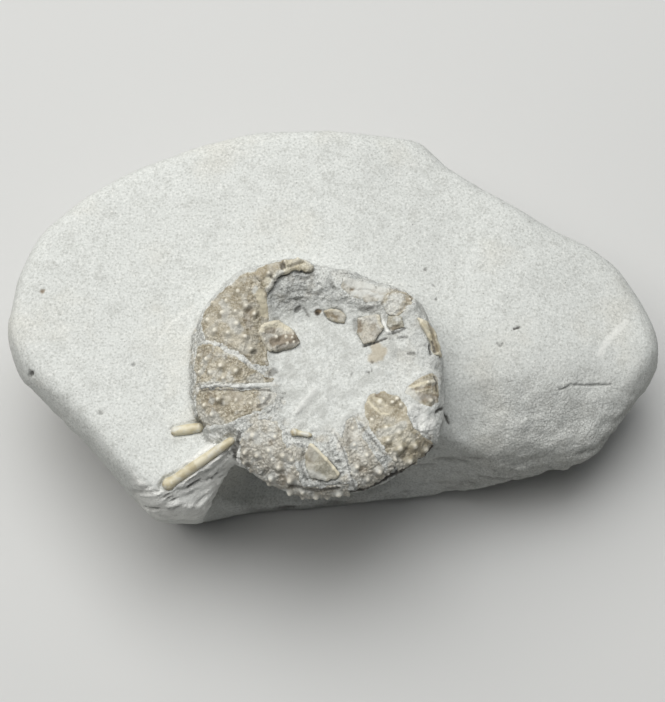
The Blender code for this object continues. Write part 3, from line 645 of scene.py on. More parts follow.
@dataclass(frozen=True)
class Shell:
    """Crystalline shell plate with worn beads whose tops carry a painted highlight, mud in its
    hollows, painted shade in its cracks and pocks, and broken cream edges.
    """

    tone: ShellTone
    mud: Colour = paint(208, 209, 204)
    bead: Colour = paint(226, 221, 206)
    edge: Colour = paint(216, 208, 184)
    pale: Colour = paint(196, 190, 174)
    brown: Colour = paint(116, 100, 78)
    dark: Colour = paint(70, 65, 57)

    def material(self) -> bpy.types.Material:
        """Makes the finish."""
        _, body, pale = self.tone.value
        sheet = Sheet(self.tone.name.lower() + "_look", 0.62, 0.35)
        mottle = sheet.noise(2.2, 4.0, 0.6)
        grit = sheet.noise(0.5, 2.0, 0.65)
        speck = sheet.noise(0.34, 2.0, 0.7)
        gritty, mud = sheet.field("grit"), sheet.field("mud")
        # gaps: painted shade between the grains, where the bump is low
        gaps = sheet.cells(0.6).step(0.4, 0.62) * gritty
        sheet.coat(
            body,
            (pale, mottle.step(0.4, 0.66)),
            (self.brown, grit.step(0.52, 0.7) * 0.3),
            (self.bead, grit.step(0.46, 0.3) * 0.3),
            (self.bead, speck.step(0.46, 0.36) * (gritty * 0.4 + 0.12)),
            (self.pale, sheet.field("pale")),
            (self.edge, sheet.field("edge")),
            (self.brown, sheet.field("brown")),
            (self.mud, mud),
            (self.brown, speck.step(0.54, 0.66) * (gritty * 0.28 + 0.1)),
            (self.dark, gaps * 0.2),
            # painted shade: dark in the cracks, pocks and rings round the knobs
            (self.dark, sheet.field("crevice")),
            # knob tops: lighter from wear and partly a painted highlight
            (self.bead, sheet.field("bead")),
        )
        sheet.feed(sheet.inputs["Roughness"], mud.step(0.0, 1.0, 0.55, 0.92))
        sheet.bump(grit + mottle * 0.6 - gaps * 0.6, 0.1)
        return sheet.material


@dataclass(frozen=True)
class Calcite:
    """Smooth cream calcite of a spine."""

    body: Colour = paint(190, 180, 150)
    pale: Colour = paint(212, 205, 181)
    brown: Colour = paint(150, 128, 88)
    mud: Colour = paint(206, 206, 198)

    def material(self) -> bpy.types.Material:
        """Makes the finish."""
        sheet = Sheet("spine_calcite", 0.42)
        sheet.coat(
            self.body,
            (self.pale, sheet.noise(2.6).step(0.38, 0.66)),
            (self.brown, sheet.field("brown")),
            (self.mud, sheet.field("mud")),
        )
        sheet.bump(sheet.noise(0.5, 3.0, 0.65), 0.05)
        return sheet.material


@dataclass(frozen=True)
class PaleFloor:
    """Plain pale floor."""

    colour: Colour = paint(198, 198, 196)

    def material(self) -> bpy.types.Material:
        """Makes the finish."""
        sheet = Sheet("pale_floor", 0.9, 0.2)
        sheet.coat(self.colour)
        return sheet.material


# ---- plates of shell -------------------------------------------------------------------------

@dataclass(frozen=True)
class Stroke:
    """A patch, streak, crack, pit or ridge along a path.

    The kind names the field that it adds to. The reach to either side is in millimetres, and so
    is the depth, which is taken off the surface.
    """

    kind: str
    path: tuple[tuple[float, ...], ...]
    reach: float
    strength: float = 1.0
    depth: float = 0.0
    rag: float = 0.35

    @classmethod
    def rows(cls, **kinds: tuple[tuple[tuple[float, ...], ...], ...]) -> tuple[Any, ...]:
        """Strokes by kind, from rows that hold the reach and what follows it, then the path."""
        return tuple(cls(kind, row[1:], *row[0]) for kind, rows in kinds.items() for row in rows)

    def colour(self, fields: Fields, share: Array) -> Array:
        """Adds the stroke to its field where it covers, and gives the depth that it takes off."""
        fields[self.kind] = np.maximum(fields[self.kind], self.strength * share)
        return self.depth * share


@dataclass(frozen=True)
class Daub(Stroke):
    """A stroke on a plate or on the mud, along a path given by bearing and distance."""

    def share(self, form: UrchinForm, flat: Array) -> Array:
        """How far each unrolled place is covered, from 0 to 1."""
        away = path_distance(flat, form.corners(self.path))
        away = away * (1.0 + self.rag * Pattern.DAUB_EDGE.at(flat)) / self.reach
        return 1.0 - smooth(away, 0.5, 1.0)


@dataclass
class ShellPlate:
    """A broken piece of shell on the urchin.

    The outline is placed by bearing and distance. A knob also has its radius and its height.
    """

    name: str
    tone: ShellTone
    outline: tuple[Place, ...]
    knobs: tuple[Row, ...] = ()
    thickness: float = 1.8
    proud: float = 0.4
    granules: float = 0.6
    granule_height: float = 0.22
    mud: float = 0.35
    daubs: tuple[Daub, ...] = ()
    edge_drop: float = 0.14
    edge_glow: float = 0.3
    spacing: float = 0.26
    edge_spacing: float = 0.28
    under_spacing: float = 1.6
    rag: float = 0.36
    seed: int = 11

    def edge(self, form: UrchinForm) -> Array:
        """Ragged outline on the unrolled surface, anticlockwise."""
        corners = anticlockwise(form.corners(self.outline))
        rows = []
        for start, end in zip(corners, np.roll(corners, -1, axis=0)):
            pieces = max(1, round(float(np.linalg.norm(end - start)) / self.edge_spacing))
            rows.append(start + (end - start) * (np.arange(pieces)[:, None] / pieces))
        edge = np.vstack(rows)
        edge = (np.roll(edge, 1, axis=0) + 2.0 * edge + np.roll(edge, -1, axis=0)) / 4.0
        shake = [Grain.rough(edge, 2.4, 3, self.seed + 20 * a) for a in range(2)]
        return edge + np.stack(shake, axis=1) * self.rag

    def outward(self, form: UrchinForm, flat: Array, margin: float) -> tuple[Array, Array]:
        """Which places are near the plate, and how far outside its edge they lie.

        Args:
            form: The urchin's surface.
            flat: Unrolled places, one a row.
            margin: How far round the plate counts as near.

        Returns:
            Row numbers of the near places, and their distances, below 0 inside the edge.
        """
        edge = self.edge(form)
        inside_box = (flat > edge.min(0) - margin) & (flat < edge.max(0) + margin)
        close = np.nonzero(np.all(inside_box, axis=1))[0]
        gap = edge_distance(flat[close], edge)
        return close, np.where(within(flat[close], edge), -gap, gap)

    def knob_profile(self, share: Array, height: float) -> Array:
        """Lift of one knob: a round bead on a low boss, with a shallow ring about it."""
        boss = 0.28 * (1.0 - smooth(share, 0.45, 1.0))
        ring = 0.08 * np.exp(-(((share - 1.15) / 0.2) ** 2))
        return height * (0.5 * dome(share, 0.5) + boss) - ring

    def relief(self, form: UrchinForm, flat: Array, gap: Array) -> tuple[Array, Fields]:
        """Lift of the plate's face, and the fields of its finish.

        Args:
            form: The urchin's surface.
            flat: Unrolled places, one a row.
            gap: Distance of each place to the outline.

        Returns:
            The lifts, and the fields by name.
        """
        seed, count = self.seed, len(flat)
        base = form.place(flat, self.proud)
        swell = 0.14 * Grain.wave(flat, 5.0, seed) + 0.1 * Grain.rough(flat, 1.3, 3, seed + 3)
        lift = self.proud + swell - self.edge_drop * (1.0 - smooth(gap, 0.0, 0.5))
        near, ring, bead = np.zeros(count), np.zeros(count), np.zeros(count)
        for bearing, distance, radius, height in self.knobs:
            middle = form.place(form.flat(bearing, distance)[None, :], self.proud)
            away = np.linalg.norm(base - middle, axis=1) / radius
            lift += self.knob_profile(away, height)
            near = np.maximum(near, 1.0 - smooth(away, 0.8, 1.2))
            ring = np.maximum(ring, np.exp(-(((away - 0.85) / 0.3) ** 2)))
            bead = np.maximum(bead, 1.0 - smooth(away, 0.15, 0.55))
        kinds = ("bead", "crevice", "edge", "mud", "brown", "pale", "bare")
        fields = {kind: np.zeros(count) for kind in kinds}
        for daub in self.daubs:
            lift -= daub.colour(fields, daub.share(form, flat))
        rough = 1.0 - fields.pop("bare")
        away, number = Grain.beads(flat, GRANULE_GAP, seed + 5)
        present = (number < self.granules) & (near < 0.4)
        grain = dome(away, 0.26 + 0.16 * number) * present * rough
        fine = dome(Grain.beads(flat, FINE_GAP, seed + 6)[0], 0.3) * rough
        lift += (self.granule_height * grain + 0.07 * fine) * smooth(gap, 0.1, 0.5)
        pocked = smooth(away, 0.36, 0.6) * self.granules * (1.0 - near) * rough
        pocked = pocked * smooth(Grain.wave(flat, 1.6, seed + 9), -0.3, 0.5)
        muddy = self.mud * smooth(Grain.rough(flat, 3.4, 4, seed + 13), -0.1, 0.5)
        least = {
            # knob and granule tops made lighter, partly wear and partly a painted highlight
            "bead": 0.85 * bead + 0.4 * grain * number,
            # painted shade in the pocks between granules and in the ring round each knob
            "crevice": 0.36 * pocked + 0.22 * ring * (1.0 - bead),
            "edge": self.edge_glow * (1.0 - smooth(gap, 0.15, 0.45)),
            "mud": muddy * rough,
        }
        for kind, values in least.items():
            fields[kind] = np.maximum(fields[kind], values)
        fields["grit"] = min(self.granules + 0.1, 1.0) * (1.0 - 0.8 * near) * rough
        return lift, fields

    def build(self, form: UrchinForm) -> bpy.types.Object:
        """Builds the plate as one closed mesh that replaces its solid.

        Args:
            form: The urchin's surface.

        Returns:
            The object.
        """
        edge = self.edge(form)
        inner = lattice(edge, self.spacing, 0.55 * self.spacing, self.seed)
        upper, faces, rim = fill(edge, inner)
        lift, fields = self.relief(form, upper, edge_distance(upper, edge))
        points, rings, total = [form.place(upper, lift)], [rim], len(upper)
        bottom = self.proud - self.thickness
        outward = edge - edge.mean(0)
        outward = outward / np.linalg.norm(outward, axis=1)[:, None]
        for share in (0.35, 0.7):
            shake = Grain.rough(edge, 1.2, 2, self.seed + int(share * 100))[:, None]
            height = lift[rim] * (1 - share) + bottom * share
            points.append(form.place(edge + outward * 0.1 * shake, height))
            rings.append(np.arange(total, total + len(edge)))
            total += len(edge)
        below = lattice(edge, self.under_spacing, 0.9, self.seed)
        lower, lower_faces, lower_rim = fill(edge, below)
        points.append(form.place(lower, bottom))
        rings.append(lower_rim + total)
        faces += [[total + i for i in reversed(face)] for face in lower_faces]
        for high, low in zip(rings[:-1], rings[1:]):
            faces += band(high, low)
        extra = total + len(lower) - len(upper)
        # the plate's sides and underside get a little painted shade
        ends = {"edge": self.edge_glow, "mud": 0.3, "crevice": 0.25}
        fields = {kind: np.concatenate([values, np.full(extra, ends.get(kind, 0.0))])
                  for kind, values in fields.items()}
        name = self.name + "_shell"
        made = make_piece(name, closed_mesh(name, np.vstack(points), faces), fields)
        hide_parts(self.name)
        return made


TAN, GREY, CREAM, DUN = ShellTone.TAN, ShellTone.GREY, ShellTone.CREAM, ShellTone.DUN

PLATES: tuple[ShellPlate, ...] = (
    ShellPlate(
        "upper_left_plates", TAN,
        ((163.4, 31.4), (158, 33.8), (150, 34.8), (143, 33.4), (139, 32), (134, 31), (128, 30),
         (124.4, 28.4), (123.6, 25.4), (126.4, 22.6), (130.4, 20.6), (136, 17.4), (146, 15.6),
         (154, 14.8), (161, 13.8), (168, 13.2), (182, 12.4), (183, 16.8), (175, 20.4),
         (170.8, 24.4), (168, 29.5)),
        ((149, 32.3, 1.3, 1), (153, 27.5, 1.5, 1.1), (143, 23.5, 1.3, 1), (143.5, 21, 1.3, 1.2),
         (156, 23, 1.3, 0.9), (163, 27.5, 1.4, 0.9), (158, 30.8, 1.2, 0.9), (139, 27.6, 1.3, 0.9),
         (162, 20, 1.3, 1), (163, 24, 1.2, 0.8), (170, 17.6, 1.2, 0.9), (146, 28.6, 1.2, 0.8),
         (149, 24.8, 1, 0.7)),
        granules=0.7, mud=0.3,
        daubs=Daub.rows(
            edge=(((1.5, 0.7), (131, 24), (133, 21.4), (137, 19)),),
            bare=(((1.7,), (131, 24), (133, 21.4), (137, 19)),),
            brown=(((1.2, 0.5, 0.3), (143.1, 22.4), (150.6, 21.2), (153.1, 20)),),
            mud=(((1.6, 0.6), (155.5, 24.4), (158.9, 22.1)),
                 ((1.1, 0.55), (155.7, 26.3), (150, 27), (147, 30)),
                 ((0.7, 0.7), (130.6, 25.4), (133, 25))),
            pale=(((2.2, 0.7), (163.7, 24), (164.9, 20.7), (169.9, 17.6)),),
            crevice=(((0.4, 0.35, 0.1), (166.5, 29.8), (169.4, 24), (174, 19.8), (181, 16.4)),
                     ((0.6, 0.6, 0.3), (172, 17), (171, 16.2))),
        ),
    ),
    ShellPlate(
        "tongue_plate", GREY,
        ((147, 18), (140, 16.9), (131, 15.4), (127, 12.5), (125, 9.3), (129, 7.3), (143, 7.3),
         (160, 10.1), (166, 13), (160, 15.2), (152, 17.6)),
        ((147, 12.8, 1.2, 0.8),),
        thickness=1.6, proud=1.2, granules=0.3, mud=0, edge_drop=0.3,
        daubs=Daub.rows(
            edge=(((1.5, 0.7), (149, 17.6), (138.8, 16), (130.9, 13.8), (128, 12)),),
            brown=(((1.1, 0.5, 0.1), (147.6, 15.7), (143, 14.7)),
                   ((1.7, 0.75, 0.1), (154, 13), (146, 11), (138.5, 9.8), (130, 8.8))),
            pale=(((1.6, 0.5), (137, 13.5), (132, 11.5)),
                  ((1.2, 0.35), (160, 13.4), (162, 12.2))),
            # painted shadow along the tongue's lower edge
            crevice=(((1, 0.55, 0.3), (158, 10.6), (151, 9), (140.5, 8), (130.5, 8)),),
            bead=(((0.5, 0.9, -0.3), (139.5, 10.6), (139, 10.6)),
                  ((0.45, 0.8, -0.3), (134, 9.4), (133.6, 9.4)),
                  ((0.4, 0.7, -0.25), (129.6, 9.9), (129.4, 9.9)),
                  ((0.45, 0.7, -0.25), (145.5, 9.3), (145, 9.3)),
                  ((0.4, 0.8, -0.25), (137, 8.3), (136.6, 8.3))),
        ),
    ),
    ShellPlate(
        "upper_left_rim", CREAM,
        ((127, 28.2), (123.5, 28.9), (119, 28.9), (113, 28.5), (107, 28.2), (101, 27.8), (95, 27),
         (92, 25.2), (96, 24.5), (104, 25.1), (111, 25.3), (116, 24.5), (121.5, 23.2),
         (126.2, 22.8), (127.2, 25.2)),
        ((101, 27, 0.9, 0.7), (109, 27.2, 0.8, 0.6), (120, 26.5, 1, 0.7)),
        thickness=1.7, proud=1, granules=0.6, mud=0.3, edge_drop=0.3, edge_glow=0.3, rag=0.7,
        daubs=Daub.rows(
            brown=(((1.9, 0.5), (127, 26.6), (122, 27.4), (116, 27.6), (111, 28)),
                   ((0.8, 0.4), (106, 28), (99, 27.6))),
            mud=(((0.9, 0.75, -0.15), (126.4, 23.4), (121.5, 24), (116, 25.2), (112.6, 25.6)),
                 ((1.1, 0.7), (96, 27), (93, 26.2))),
            crevice=(((0.6, 0.85, 0.5), (111.6, 26.4), (110.4, 27.2), (110, 26.4)),
                     ((0.4, 0.6, 0.3), (108, 26.2), (103, 26.2), (98, 26.4)),
                     ((0.35, 0.6, 0.3), (119.6, 25.6), (118.4, 24.6))),
            edge=(((0.8, 0.6, -0.15), (108.6, 27.2), (102, 27.2), (97, 26.8)),),
        ),
    ),
    ShellPlate(
        "left_plates", TAN,
        ((169.8, 33), (168.8, 29.6), (171.4, 25), (176.4, 21.2), (184, 17.8), (192, 14.4),
         (199, 10.8), (203.6, 12.2), (198.4, 20), (192, 28), (189.2, 32.6), (181, 33.4)),
        ((175, 30.9, 1.2, 0.9), (178, 28.2, 1.3, 1), (183, 24.4, 1.4, 1.1), (188, 20.8, 1.3, 1),
         (183.5, 30.6, 1.1, 0.8), (185.5, 27.2, 1.1, 0.8), (190.5, 24, 1, 0.6)),
        granules=0.85, granule_height=0.26, mud=0.55,
        daubs=Daub.rows(
            mud=(((0.7, 0.8), (189.4, 31.4), (192, 26.5), (197, 21.5), (201.2, 16.6)),),
            brown=(((1.2, 0.3), (173, 31), (176, 27)),),
            crevice=(((0.6, 0.5, 0.2), (196, 13.6), (198, 12.6)),),
        ),
    ),
    ShellPlate(
        "lower_left_plates", TAN,
        ((191.2, 32.8), (194, 27), (200.4, 20), (208, 13.6), (218, 12.6), (224, 15.2),
         (221.4, 19), (217, 24), (214, 28.2), (209, 32.4), (203, 33.8), (197, 33.6)),
        ((201, 26.3, 1.4, 1.1), (200, 30.2, 1.1, 0.6), (206, 22.4, 0.9, 0.3),
         (213, 19.8, 0.9, 0.4), (206, 29.4, 1.1, 0.6), (215, 16.4, 0.8, 0.4)),
        granules=0.75, granule_height=0.24, mud=0.6,
        daubs=Daub.rows(
            bare=(((2.4, 0.8), (202.4, 23.4), (206, 21.8)),),
            brown=(((1.3, 0.3), (201.6, 22.6), (206, 21.6)),
                   ((2, 0.3), (198, 28), (203, 28.4))),
            crevice=(((0.4, 0.7, 0.1), (192.4, 31), (195.2, 26.5), (201.4, 20.4), (206.4, 15.6),
                      (212, 13.4)),
                     ((0.7, 0.8, 0.35), (201.3, 20.3), (202, 19.9)),
                     ((0.6, 0.5, 0.2), (203, 25.4), (204.5, 26)),
                     ((0.6, 0.6, 0.25), (216, 14.6), (220, 16.6), (218, 18.6))),
            mud=(((1.6, 0.6), (200, 32.4), (206, 31.6), (212, 28.6)),
                 ((3, 0.75), (212, 14.8), (220, 16))),
        ),
    ),
    ShellPlate(
        "front_plates", GREY,
        ((224, 24.8), (225, 20), (236, 18), (245, 20.4), (250, 22.6), (256, 23.6), (259, 26.6),
         (262, 30.6), (271, 31.2), (280, 30.6), (284, 31.4), (284, 35.8), (274, 37), (262, 37),
         (252, 36.5), (245, 36), (240, 33.4), (232, 32.4), (227, 30)),
        ((229, 24.4, 1.3, 0.7), (231, 28.8, 1.2, 0.9), (233, 31.2, 1.2, 1), (237, 27.8, 1.2, 0.8),
         (250, 25, 1.2, 0.9), (250, 28, 1.5, 1.4), (255.4, 25.4, 1, 0.8), (247.5, 31.8, 1.3, 1),
         (247, 34.6, 1.3, 1.1), (256.5, 30.2, 1.7, 1.5), (257, 34.6, 1.4, 1.3),
         (263, 33, 1.1, 0.9), (269, 34.6, 1.4, 1.2), (279, 34.2, 1.5, 1.2), (241, 21.6, 0.9, 0.5),
         (236.5, 33.2, 1.1, 0.9), (241.4, 25.2, 1, 0.6), (274, 35.6, 1.1, 0.9), (263, 36, 1, 0.8)),
        granules=0.85, granule_height=0.24, mud=0.75, rag=0.5,
        daubs=Daub.rows(
            brown=(((1.6, 0.4, 0.25), (253, 31.6), (253.5, 29.4), (252.5, 27.4)),
                   ((1, 0.35), (240.5, 23.6), (239.5, 22.8))),
            pale=(((1.4, 0.5), (247.2, 24.6), (250.6, 26.4)),),
            crevice=(((0.8, 0.6, 0.35), (257, 32.6), (262, 31.8), (270, 32.4), (279, 32.2)),
                     ((0.9, 0.5, 0.3), (226.4, 29), (229.6, 31.2), (236, 31.6)),
                     ((0.7, 0.4, 0.3), (245, 29.6), (243, 32.6))),
        ),
    ),
    ShellPlate(
        "triangular_plate", DUN,
        ((265, 20.4), (272, 22.4), (277, 25), (281, 28.2), (279, 29.2), (273, 29.4), (267, 28.6),
         (262.5, 25.6), (262.5, 22.6)),
        thickness=1.1, proud=0.9, granules=0, mud=0.2, edge_drop=0.2, edge_glow=0.2,
        daubs=Daub.rows(
            edge=(((0.75, 0.9, -0.22), (265.4, 20.8), (271.6, 22.6), (276.8, 25.2), (280.6, 28)),),
            brown=(((1.4, 0.35), (263.6, 22), (265, 24.6)),),
            mud=(((1.2, 0.6), (264.6, 27.4), (272, 28.8)),),
        ),
    ),
    ShellPlate(
        "front_right_plates", GREY,
        ((294, 16), (304, 15.6), (301, 20), (300.5, 25.6), (302, 31), (302.5, 34.5), (295, 35.5),
         (288, 35.2), (286.5, 30), (286.5, 24), (288, 19)),
        ((290, 27.8, 1.4, 1.2), (299, 31, 1.5, 1.2), (293, 22.6, 1, 0.5), (293, 31.6, 1.2, 0.8),
         (297, 18.6, 0.9, 0.4), (297, 26, 1, 0.5)),
        granules=0.85, granule_height=0.24, mud=0.65, rag=0.5,
        daubs=Daub.rows(
            crevice=(((1.3, 0.3, 0.05), (292.6, 17), (291, 20.4), (288.6, 22)),
                     # painted shadow along the plates' lower edge, where the urchin overhangs the
                     # stone
                     ((1.1, 0.9, 0.4, 0.7), (302.4, 34.4), (296, 35.2), (287.6, 34.9))),
            bare=(((1.3, 0.8), (295.9, 19.2), (295, 20.6)),),
            brown=(((1, 0.45, 0.2), (291.4, 28.4), (293.4, 29)),),
            pale=(((1.6, 0.5), (298, 33), (294, 33.6)),),
        ),
    ),
    ShellPlate(
        "right_front_plates", TAN,
        ((316, 15.2), (329, 14.9), (336, 17.6), (337, 21.4), (334, 24), (329, 25.6), (325, 28.6),
         (326, 33), (327, 37.5), (320, 39), (313, 37.5), (307.5, 35.5), (306.5, 28), (307, 20.4)),
        ((327, 18, 1.5, 0.6), (331, 20.8, 1.1, 0.8), (331.8, 22.9, 1, 0.7), (315, 23.4, 1.2, 0.7),
         (311, 25.8, 1.1, 0.8), (318, 26.4, 1.2, 0.7), (313, 29.2, 1.6, 1.1),
         (313.5, 33.6, 1.5, 0.9), (319, 31.6, 1.4, 0.9), (322, 35, 1.4, 0.8), (312, 19.6, 1, 0.5),
         (308.5, 30.6, 1.1, 0.8), (334.6, 21.4, 1.2, 0.7), (316, 37, 1.2, 0.9)),
        granules=0.7, granule_height=0.24, mud=0.3,
        daubs=Daub.rows(
            bare=(((3.3,), (322, 16.4), (329, 19.1), (329, 22), (328.9, 24.5)),),
            edge=(((3, 0.4), (313, 29.2), (315, 25), (318, 28)),
                  ((2.6, 0.3), (313.5, 33.6), (319, 32), (321, 35)),
                  ((0.45, 0.7, -0.15), (321.5, 15.8), (320.4, 17.7), (319.6, 19.9), (322, 21.8)),
                  ((0.35, 0.5, -0.1, 0.1), (329.2, 18), (327, 19.8), (324.6, 18.2), (327, 16.2),
                   (329.2, 18)),
                  ((2.2, 0.5), (316, 28), (318, 30.6), (316, 34), (321, 33.6))),
            brown=(((2.2, 0.3), (316.8, 32.4), (320.9, 33), (323.7, 34.4), (321, 36.4)),
                   ((0.6, 0.6, 0.2), (332, 16.9), (331, 16.4))),
            crevice=(((0.7, 0.5, 0.3), (309.6, 30.6), (312.4, 31.6), (315.6, 30.8)),
                     ((0.6, 0.45, 0.25), (307.9, 26.6), (310.4, 27.6)),
                     # painted shadow along the plates' lower edge, where the urchin overhangs the
                     # stone
                     ((1.3, 0.9, 0.4, 0.7), (308, 35.2), (313, 36.8), (320, 38), (326.6, 36.8))),
            mud=(((1.3, 0.6), (322.6, 26), (316, 24.8), (310, 23.4)),
                 ((1.5, 0.5), (308.6, 29.6), (308.6, 33), (311.6, 36))),
        ),
    ),
    ShellPlate(
        "right_plate", TAN,
        ((339.4, 22.4), (345.4, 22.4), (351.2, 24.8), (356.4, 28.2), (354, 30), (349, 31),
         (343, 31.4), (338.4, 29.8), (337.4, 27), (338.4, 24.2)),
        ((341.4, 29, 1.3, 0.8), (350, 27.2, 0.8, 0.4)),
        proud=0.5, granules=0.35, granule_height=0.14, mud=0.4, edge_drop=0.1,
        daubs=Daub.rows(
            edge=(((0.55, 0.8, -0.12), (344.3, 23.4), (346.7, 24.9), (348.9, 26.5), (351.5, 28.6)),
                  ((0.4, 0.6, -0.1), (342.2, 24.3), (344.1, 25.7), (346.6, 27.4))),
            brown=(((0.5, 0.6, 0.15), (343.2, 24), (346, 26.6), (350, 29.4)),
                   ((1.3, 0.7), (341, 26.5), (342.6, 28.4), (344, 30.2))),
            mud=(((1.6, 0.7), (339.6, 22.8), (342, 23), (339, 25.6)),),
            crevice=(((0.35, 0.8, 0.25), (354, 28.8), (351.2, 29.6), (347.3, 30)),),
        ),
    ),
    ShellPlate(
        "right_rim_splinter", CREAM,
        ((25, 27.2), (22, 30), (16, 31.6), (10, 31.9), (5, 31.4), (6, 28.8), (12, 28.8),
         (18, 27.6)),
        thickness=1.5, proud=0.9, granules=0, mud=0.1, edge_drop=0.3, edge_glow=0.4,
        daubs=Daub.rows(
            brown=(((0.8, 0.6, 0.2), (19.5, 29.4), (13.5, 29.6), (8, 29.8)),),
            crevice=(((0.45, 0.9, 0.2), (11.8, 28.9), (7, 28.9)),),
        ),
    ),
    ShellPlate(
        "upper_right_splinter", TAN,
        ((45, 27.6), (40, 30), (35, 30.2), (33, 27.6), (30.6, 23.4), (36.5, 21.6), (43, 22.4),
         (46, 25)),
        ((36, 28.4, 0.9, 0.7),),
        thickness=1.4, proud=0.5, granules=0.8, granule_height=0.26, mud=0.9, edge_drop=0,
        edge_glow=0.1,
        daubs=Daub.rows(
            brown=(((0.9, 0.6, 0.2), (35.6, 29), (36, 28)),),
            mud=(((2.6, 0.85), (37, 23.4), (40, 25.4)),),
            crevice=(((0.5, 0.4, 0.2), (33.6, 27), (33, 24.4)),),
        ),
    ),
    ShellPlate(
        "square_plate", GREY,
        ((51, 15.8), (39.5, 20), (29, 19), (23, 15), (26, 12.4), (40, 12.6)),
        thickness=1.4, proud=0.8, granules=0.5, granule_height=0.12, mud=0.3, edge_drop=0.15,
        daubs=Daub.rows(
            pale=(((2.2, 0.4), (38.2, 14.7), (30, 15.6)),),
            brown=(((1.4, 0.35), (34, 17), (29, 16)),
                   ((1.2, 0.7), (47.5, 14.9), (41.5, 13.6))),
            edge=(((0.6, 0.8, -0.2), (38.4, 19.4), (30.2, 18.7)),),
        ),
    ),
    ShellPlate(
        "small_square_plate", DUN,
        ((35.2, 21.6), (28.7, 24.2), (22.8, 23.3), (24.4, 20), (30, 19.8)),
        thickness=1.2, proud=0.6, granules=0.5, granule_height=0.12, mud=0.9, edge_drop=0.05,
        edge_glow=0,
        daubs=Daub.rows(
            brown=(((0.6, 0.5, 0.2), (25.6, 20.2), (24.6, 22)),),
        ),
    ),
    ShellPlate(
        "back_right_plates", GREY,
        ((75, 23.6), (65, 24.2), (56, 25.4), (47, 26.4), (45, 22.8), (52, 20.2), (64, 19.2),
         (74, 20.6)),
        thickness=1.4, proud=0.5, granules=0.08, mud=0.85,
        daubs=Daub.rows(
            brown=(((0.35, 0.8, 0.25), (66.3, 20.9), (59.5, 22.1), (52.1, 23.7)),
                   ((1, 0.45), (54, 22.4), (50, 23.4))),
            mud=(((1.6, 0.7), (70, 22.6), (60, 23.4), (50, 25)),),
            crevice=(((0.35, 0.4, 0.15), (55.2, 25.2), (53.2, 24.4)),),
        ),
    ),
    ShellPlate(
        "plate_chip", TAN,
        ((85, 13.9), (78, 15.1), (69, 15.2), (61, 14.4), (59, 12.4), (69, 11.9), (79, 12.4)),
        thickness=1.2, proud=0.8, granules=0, mud=0.4, edge_drop=0.3, edge_glow=0.2,
        daubs=Daub.rows(
            brown=(((0.9, 0.5, 0.15), (80, 13.6), (68, 13.2)),),
        ),
    ),
)


# ---- spines ----------------------------------------------------------------------------------

@dataclass
class Spine:
    """A loose spine, from its base end to its tip.

    Each row of the profile holds a distance from the base and the radius there.
    """

    name: str
    base: Spot
    tip: Spot
    profile: tuple[Place, ...]
    sides: int = 40
    step: float = 0.25
    threads: int = 22
    thread_depth: float = 0.03
    milled_from: float = 0.9
    milled_to: float = 1.9
    mud: float = 0.5
    seed: int = 31

    def near(self, points: Array) -> tuple[Array, Array, Array]:
        """The spine as seen from above each point.

        Args:
            points: Points in millimetres, one a row.

        Returns:
            The distance to the axis in plan, the axis's height there, and the spine's radius.
        """
        base, tip = np.array(self.base), np.array(self.tip)
        run = tip - base
        share = ((points - base)[:, :2] @ run[:2]) / (run[:2] @ run[:2])
        share = np.clip(share, 0.0, 0.96)
        axis = base + share[:, None] * run
        rows = np.array(self.profile)
        radius = np.interp(share * np.linalg.norm(run), rows[:, 0], rows[:, 1])
        return np.linalg.norm(points[:, :2] - axis[:, :2], axis=1), axis[:, 2], radius

    def build(self) -> bpy.types.Object:
        """Builds the spine as one closed mesh that replaces its solid."""
        base, tip = np.array(self.base), np.array(self.tip)
        along = (tip - base) / np.linalg.norm(tip - base)
        across = np.cross(along, (0.0, 0.0, 1.0))
        across /= np.linalg.norm(across)
        above = np.cross(across, along)
        rows = np.array(self.profile)
        start, end = rows[0, 0], rows[-1, 0]
        stations = np.linspace(start, end, int((end - start) / self.step) + 2)
        turn = np.linspace(0.0, 2.0 * math.pi, self.sides, endpoint=False)
        spokes = np.cos(turn)[:, None] * across + np.sin(turn)[:, None] * above
        points = []
        for run in stations:
            milled = between(run, (self.milled_from - 0.2, self.milled_from),
                             (self.milled_to, self.milled_to + 0.3))
            wave = self.thread_depth * (1.0 + 1.5 * milled) * np.cos(self.threads * turn)
            ring = np.interp(run, rows[:, 0], rows[:, 1]) + wave
            points.append(base + along * run + ring[:, None] * spokes)
        grid = np.vstack(points)
        grid = grid + along * 0.12 * Grain.rough(grid, 1.5, 2, self.seed)[:, None]
        points = np.vstack([grid, base + along * (start - 0.15), base + along * (end + 0.15)])
        levels = np.arange(len(grid)).reshape(-1, self.sides)
        faces = [face for low, high in zip(levels[:-1], levels[1:]) for face in band(high, low)]
        for hub, ring in ((len(grid), levels[0]), (len(grid) + 1, levels[-1][::-1])):
            faces += [[hub, int(b), int(a)] for a, b in zip(ring, np.roll(ring, -1))]
        run = np.concatenate([np.repeat(stations, self.sides), [start, end]])
        mottle = Grain.rough(points, 2.5, 3, self.seed + 3)
        muddy = Grain.rough(points, 1.8, 3, self.seed + 5)
        worn = 0.5 * (1.0 - smooth(run, start, start + 1.2))
        fields = {
            "brown": worn + 0.12 * smooth(mottle, 0.0, 0.6),
            "mud": self.mud * smooth(muddy, 0.65 - self.mud, 1.1 - self.mud),
        }
        name = self.name + "_calcite"
        made = make_piece(name, closed_mesh(name, points, faces), fields)
        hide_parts(self.name)
        return made


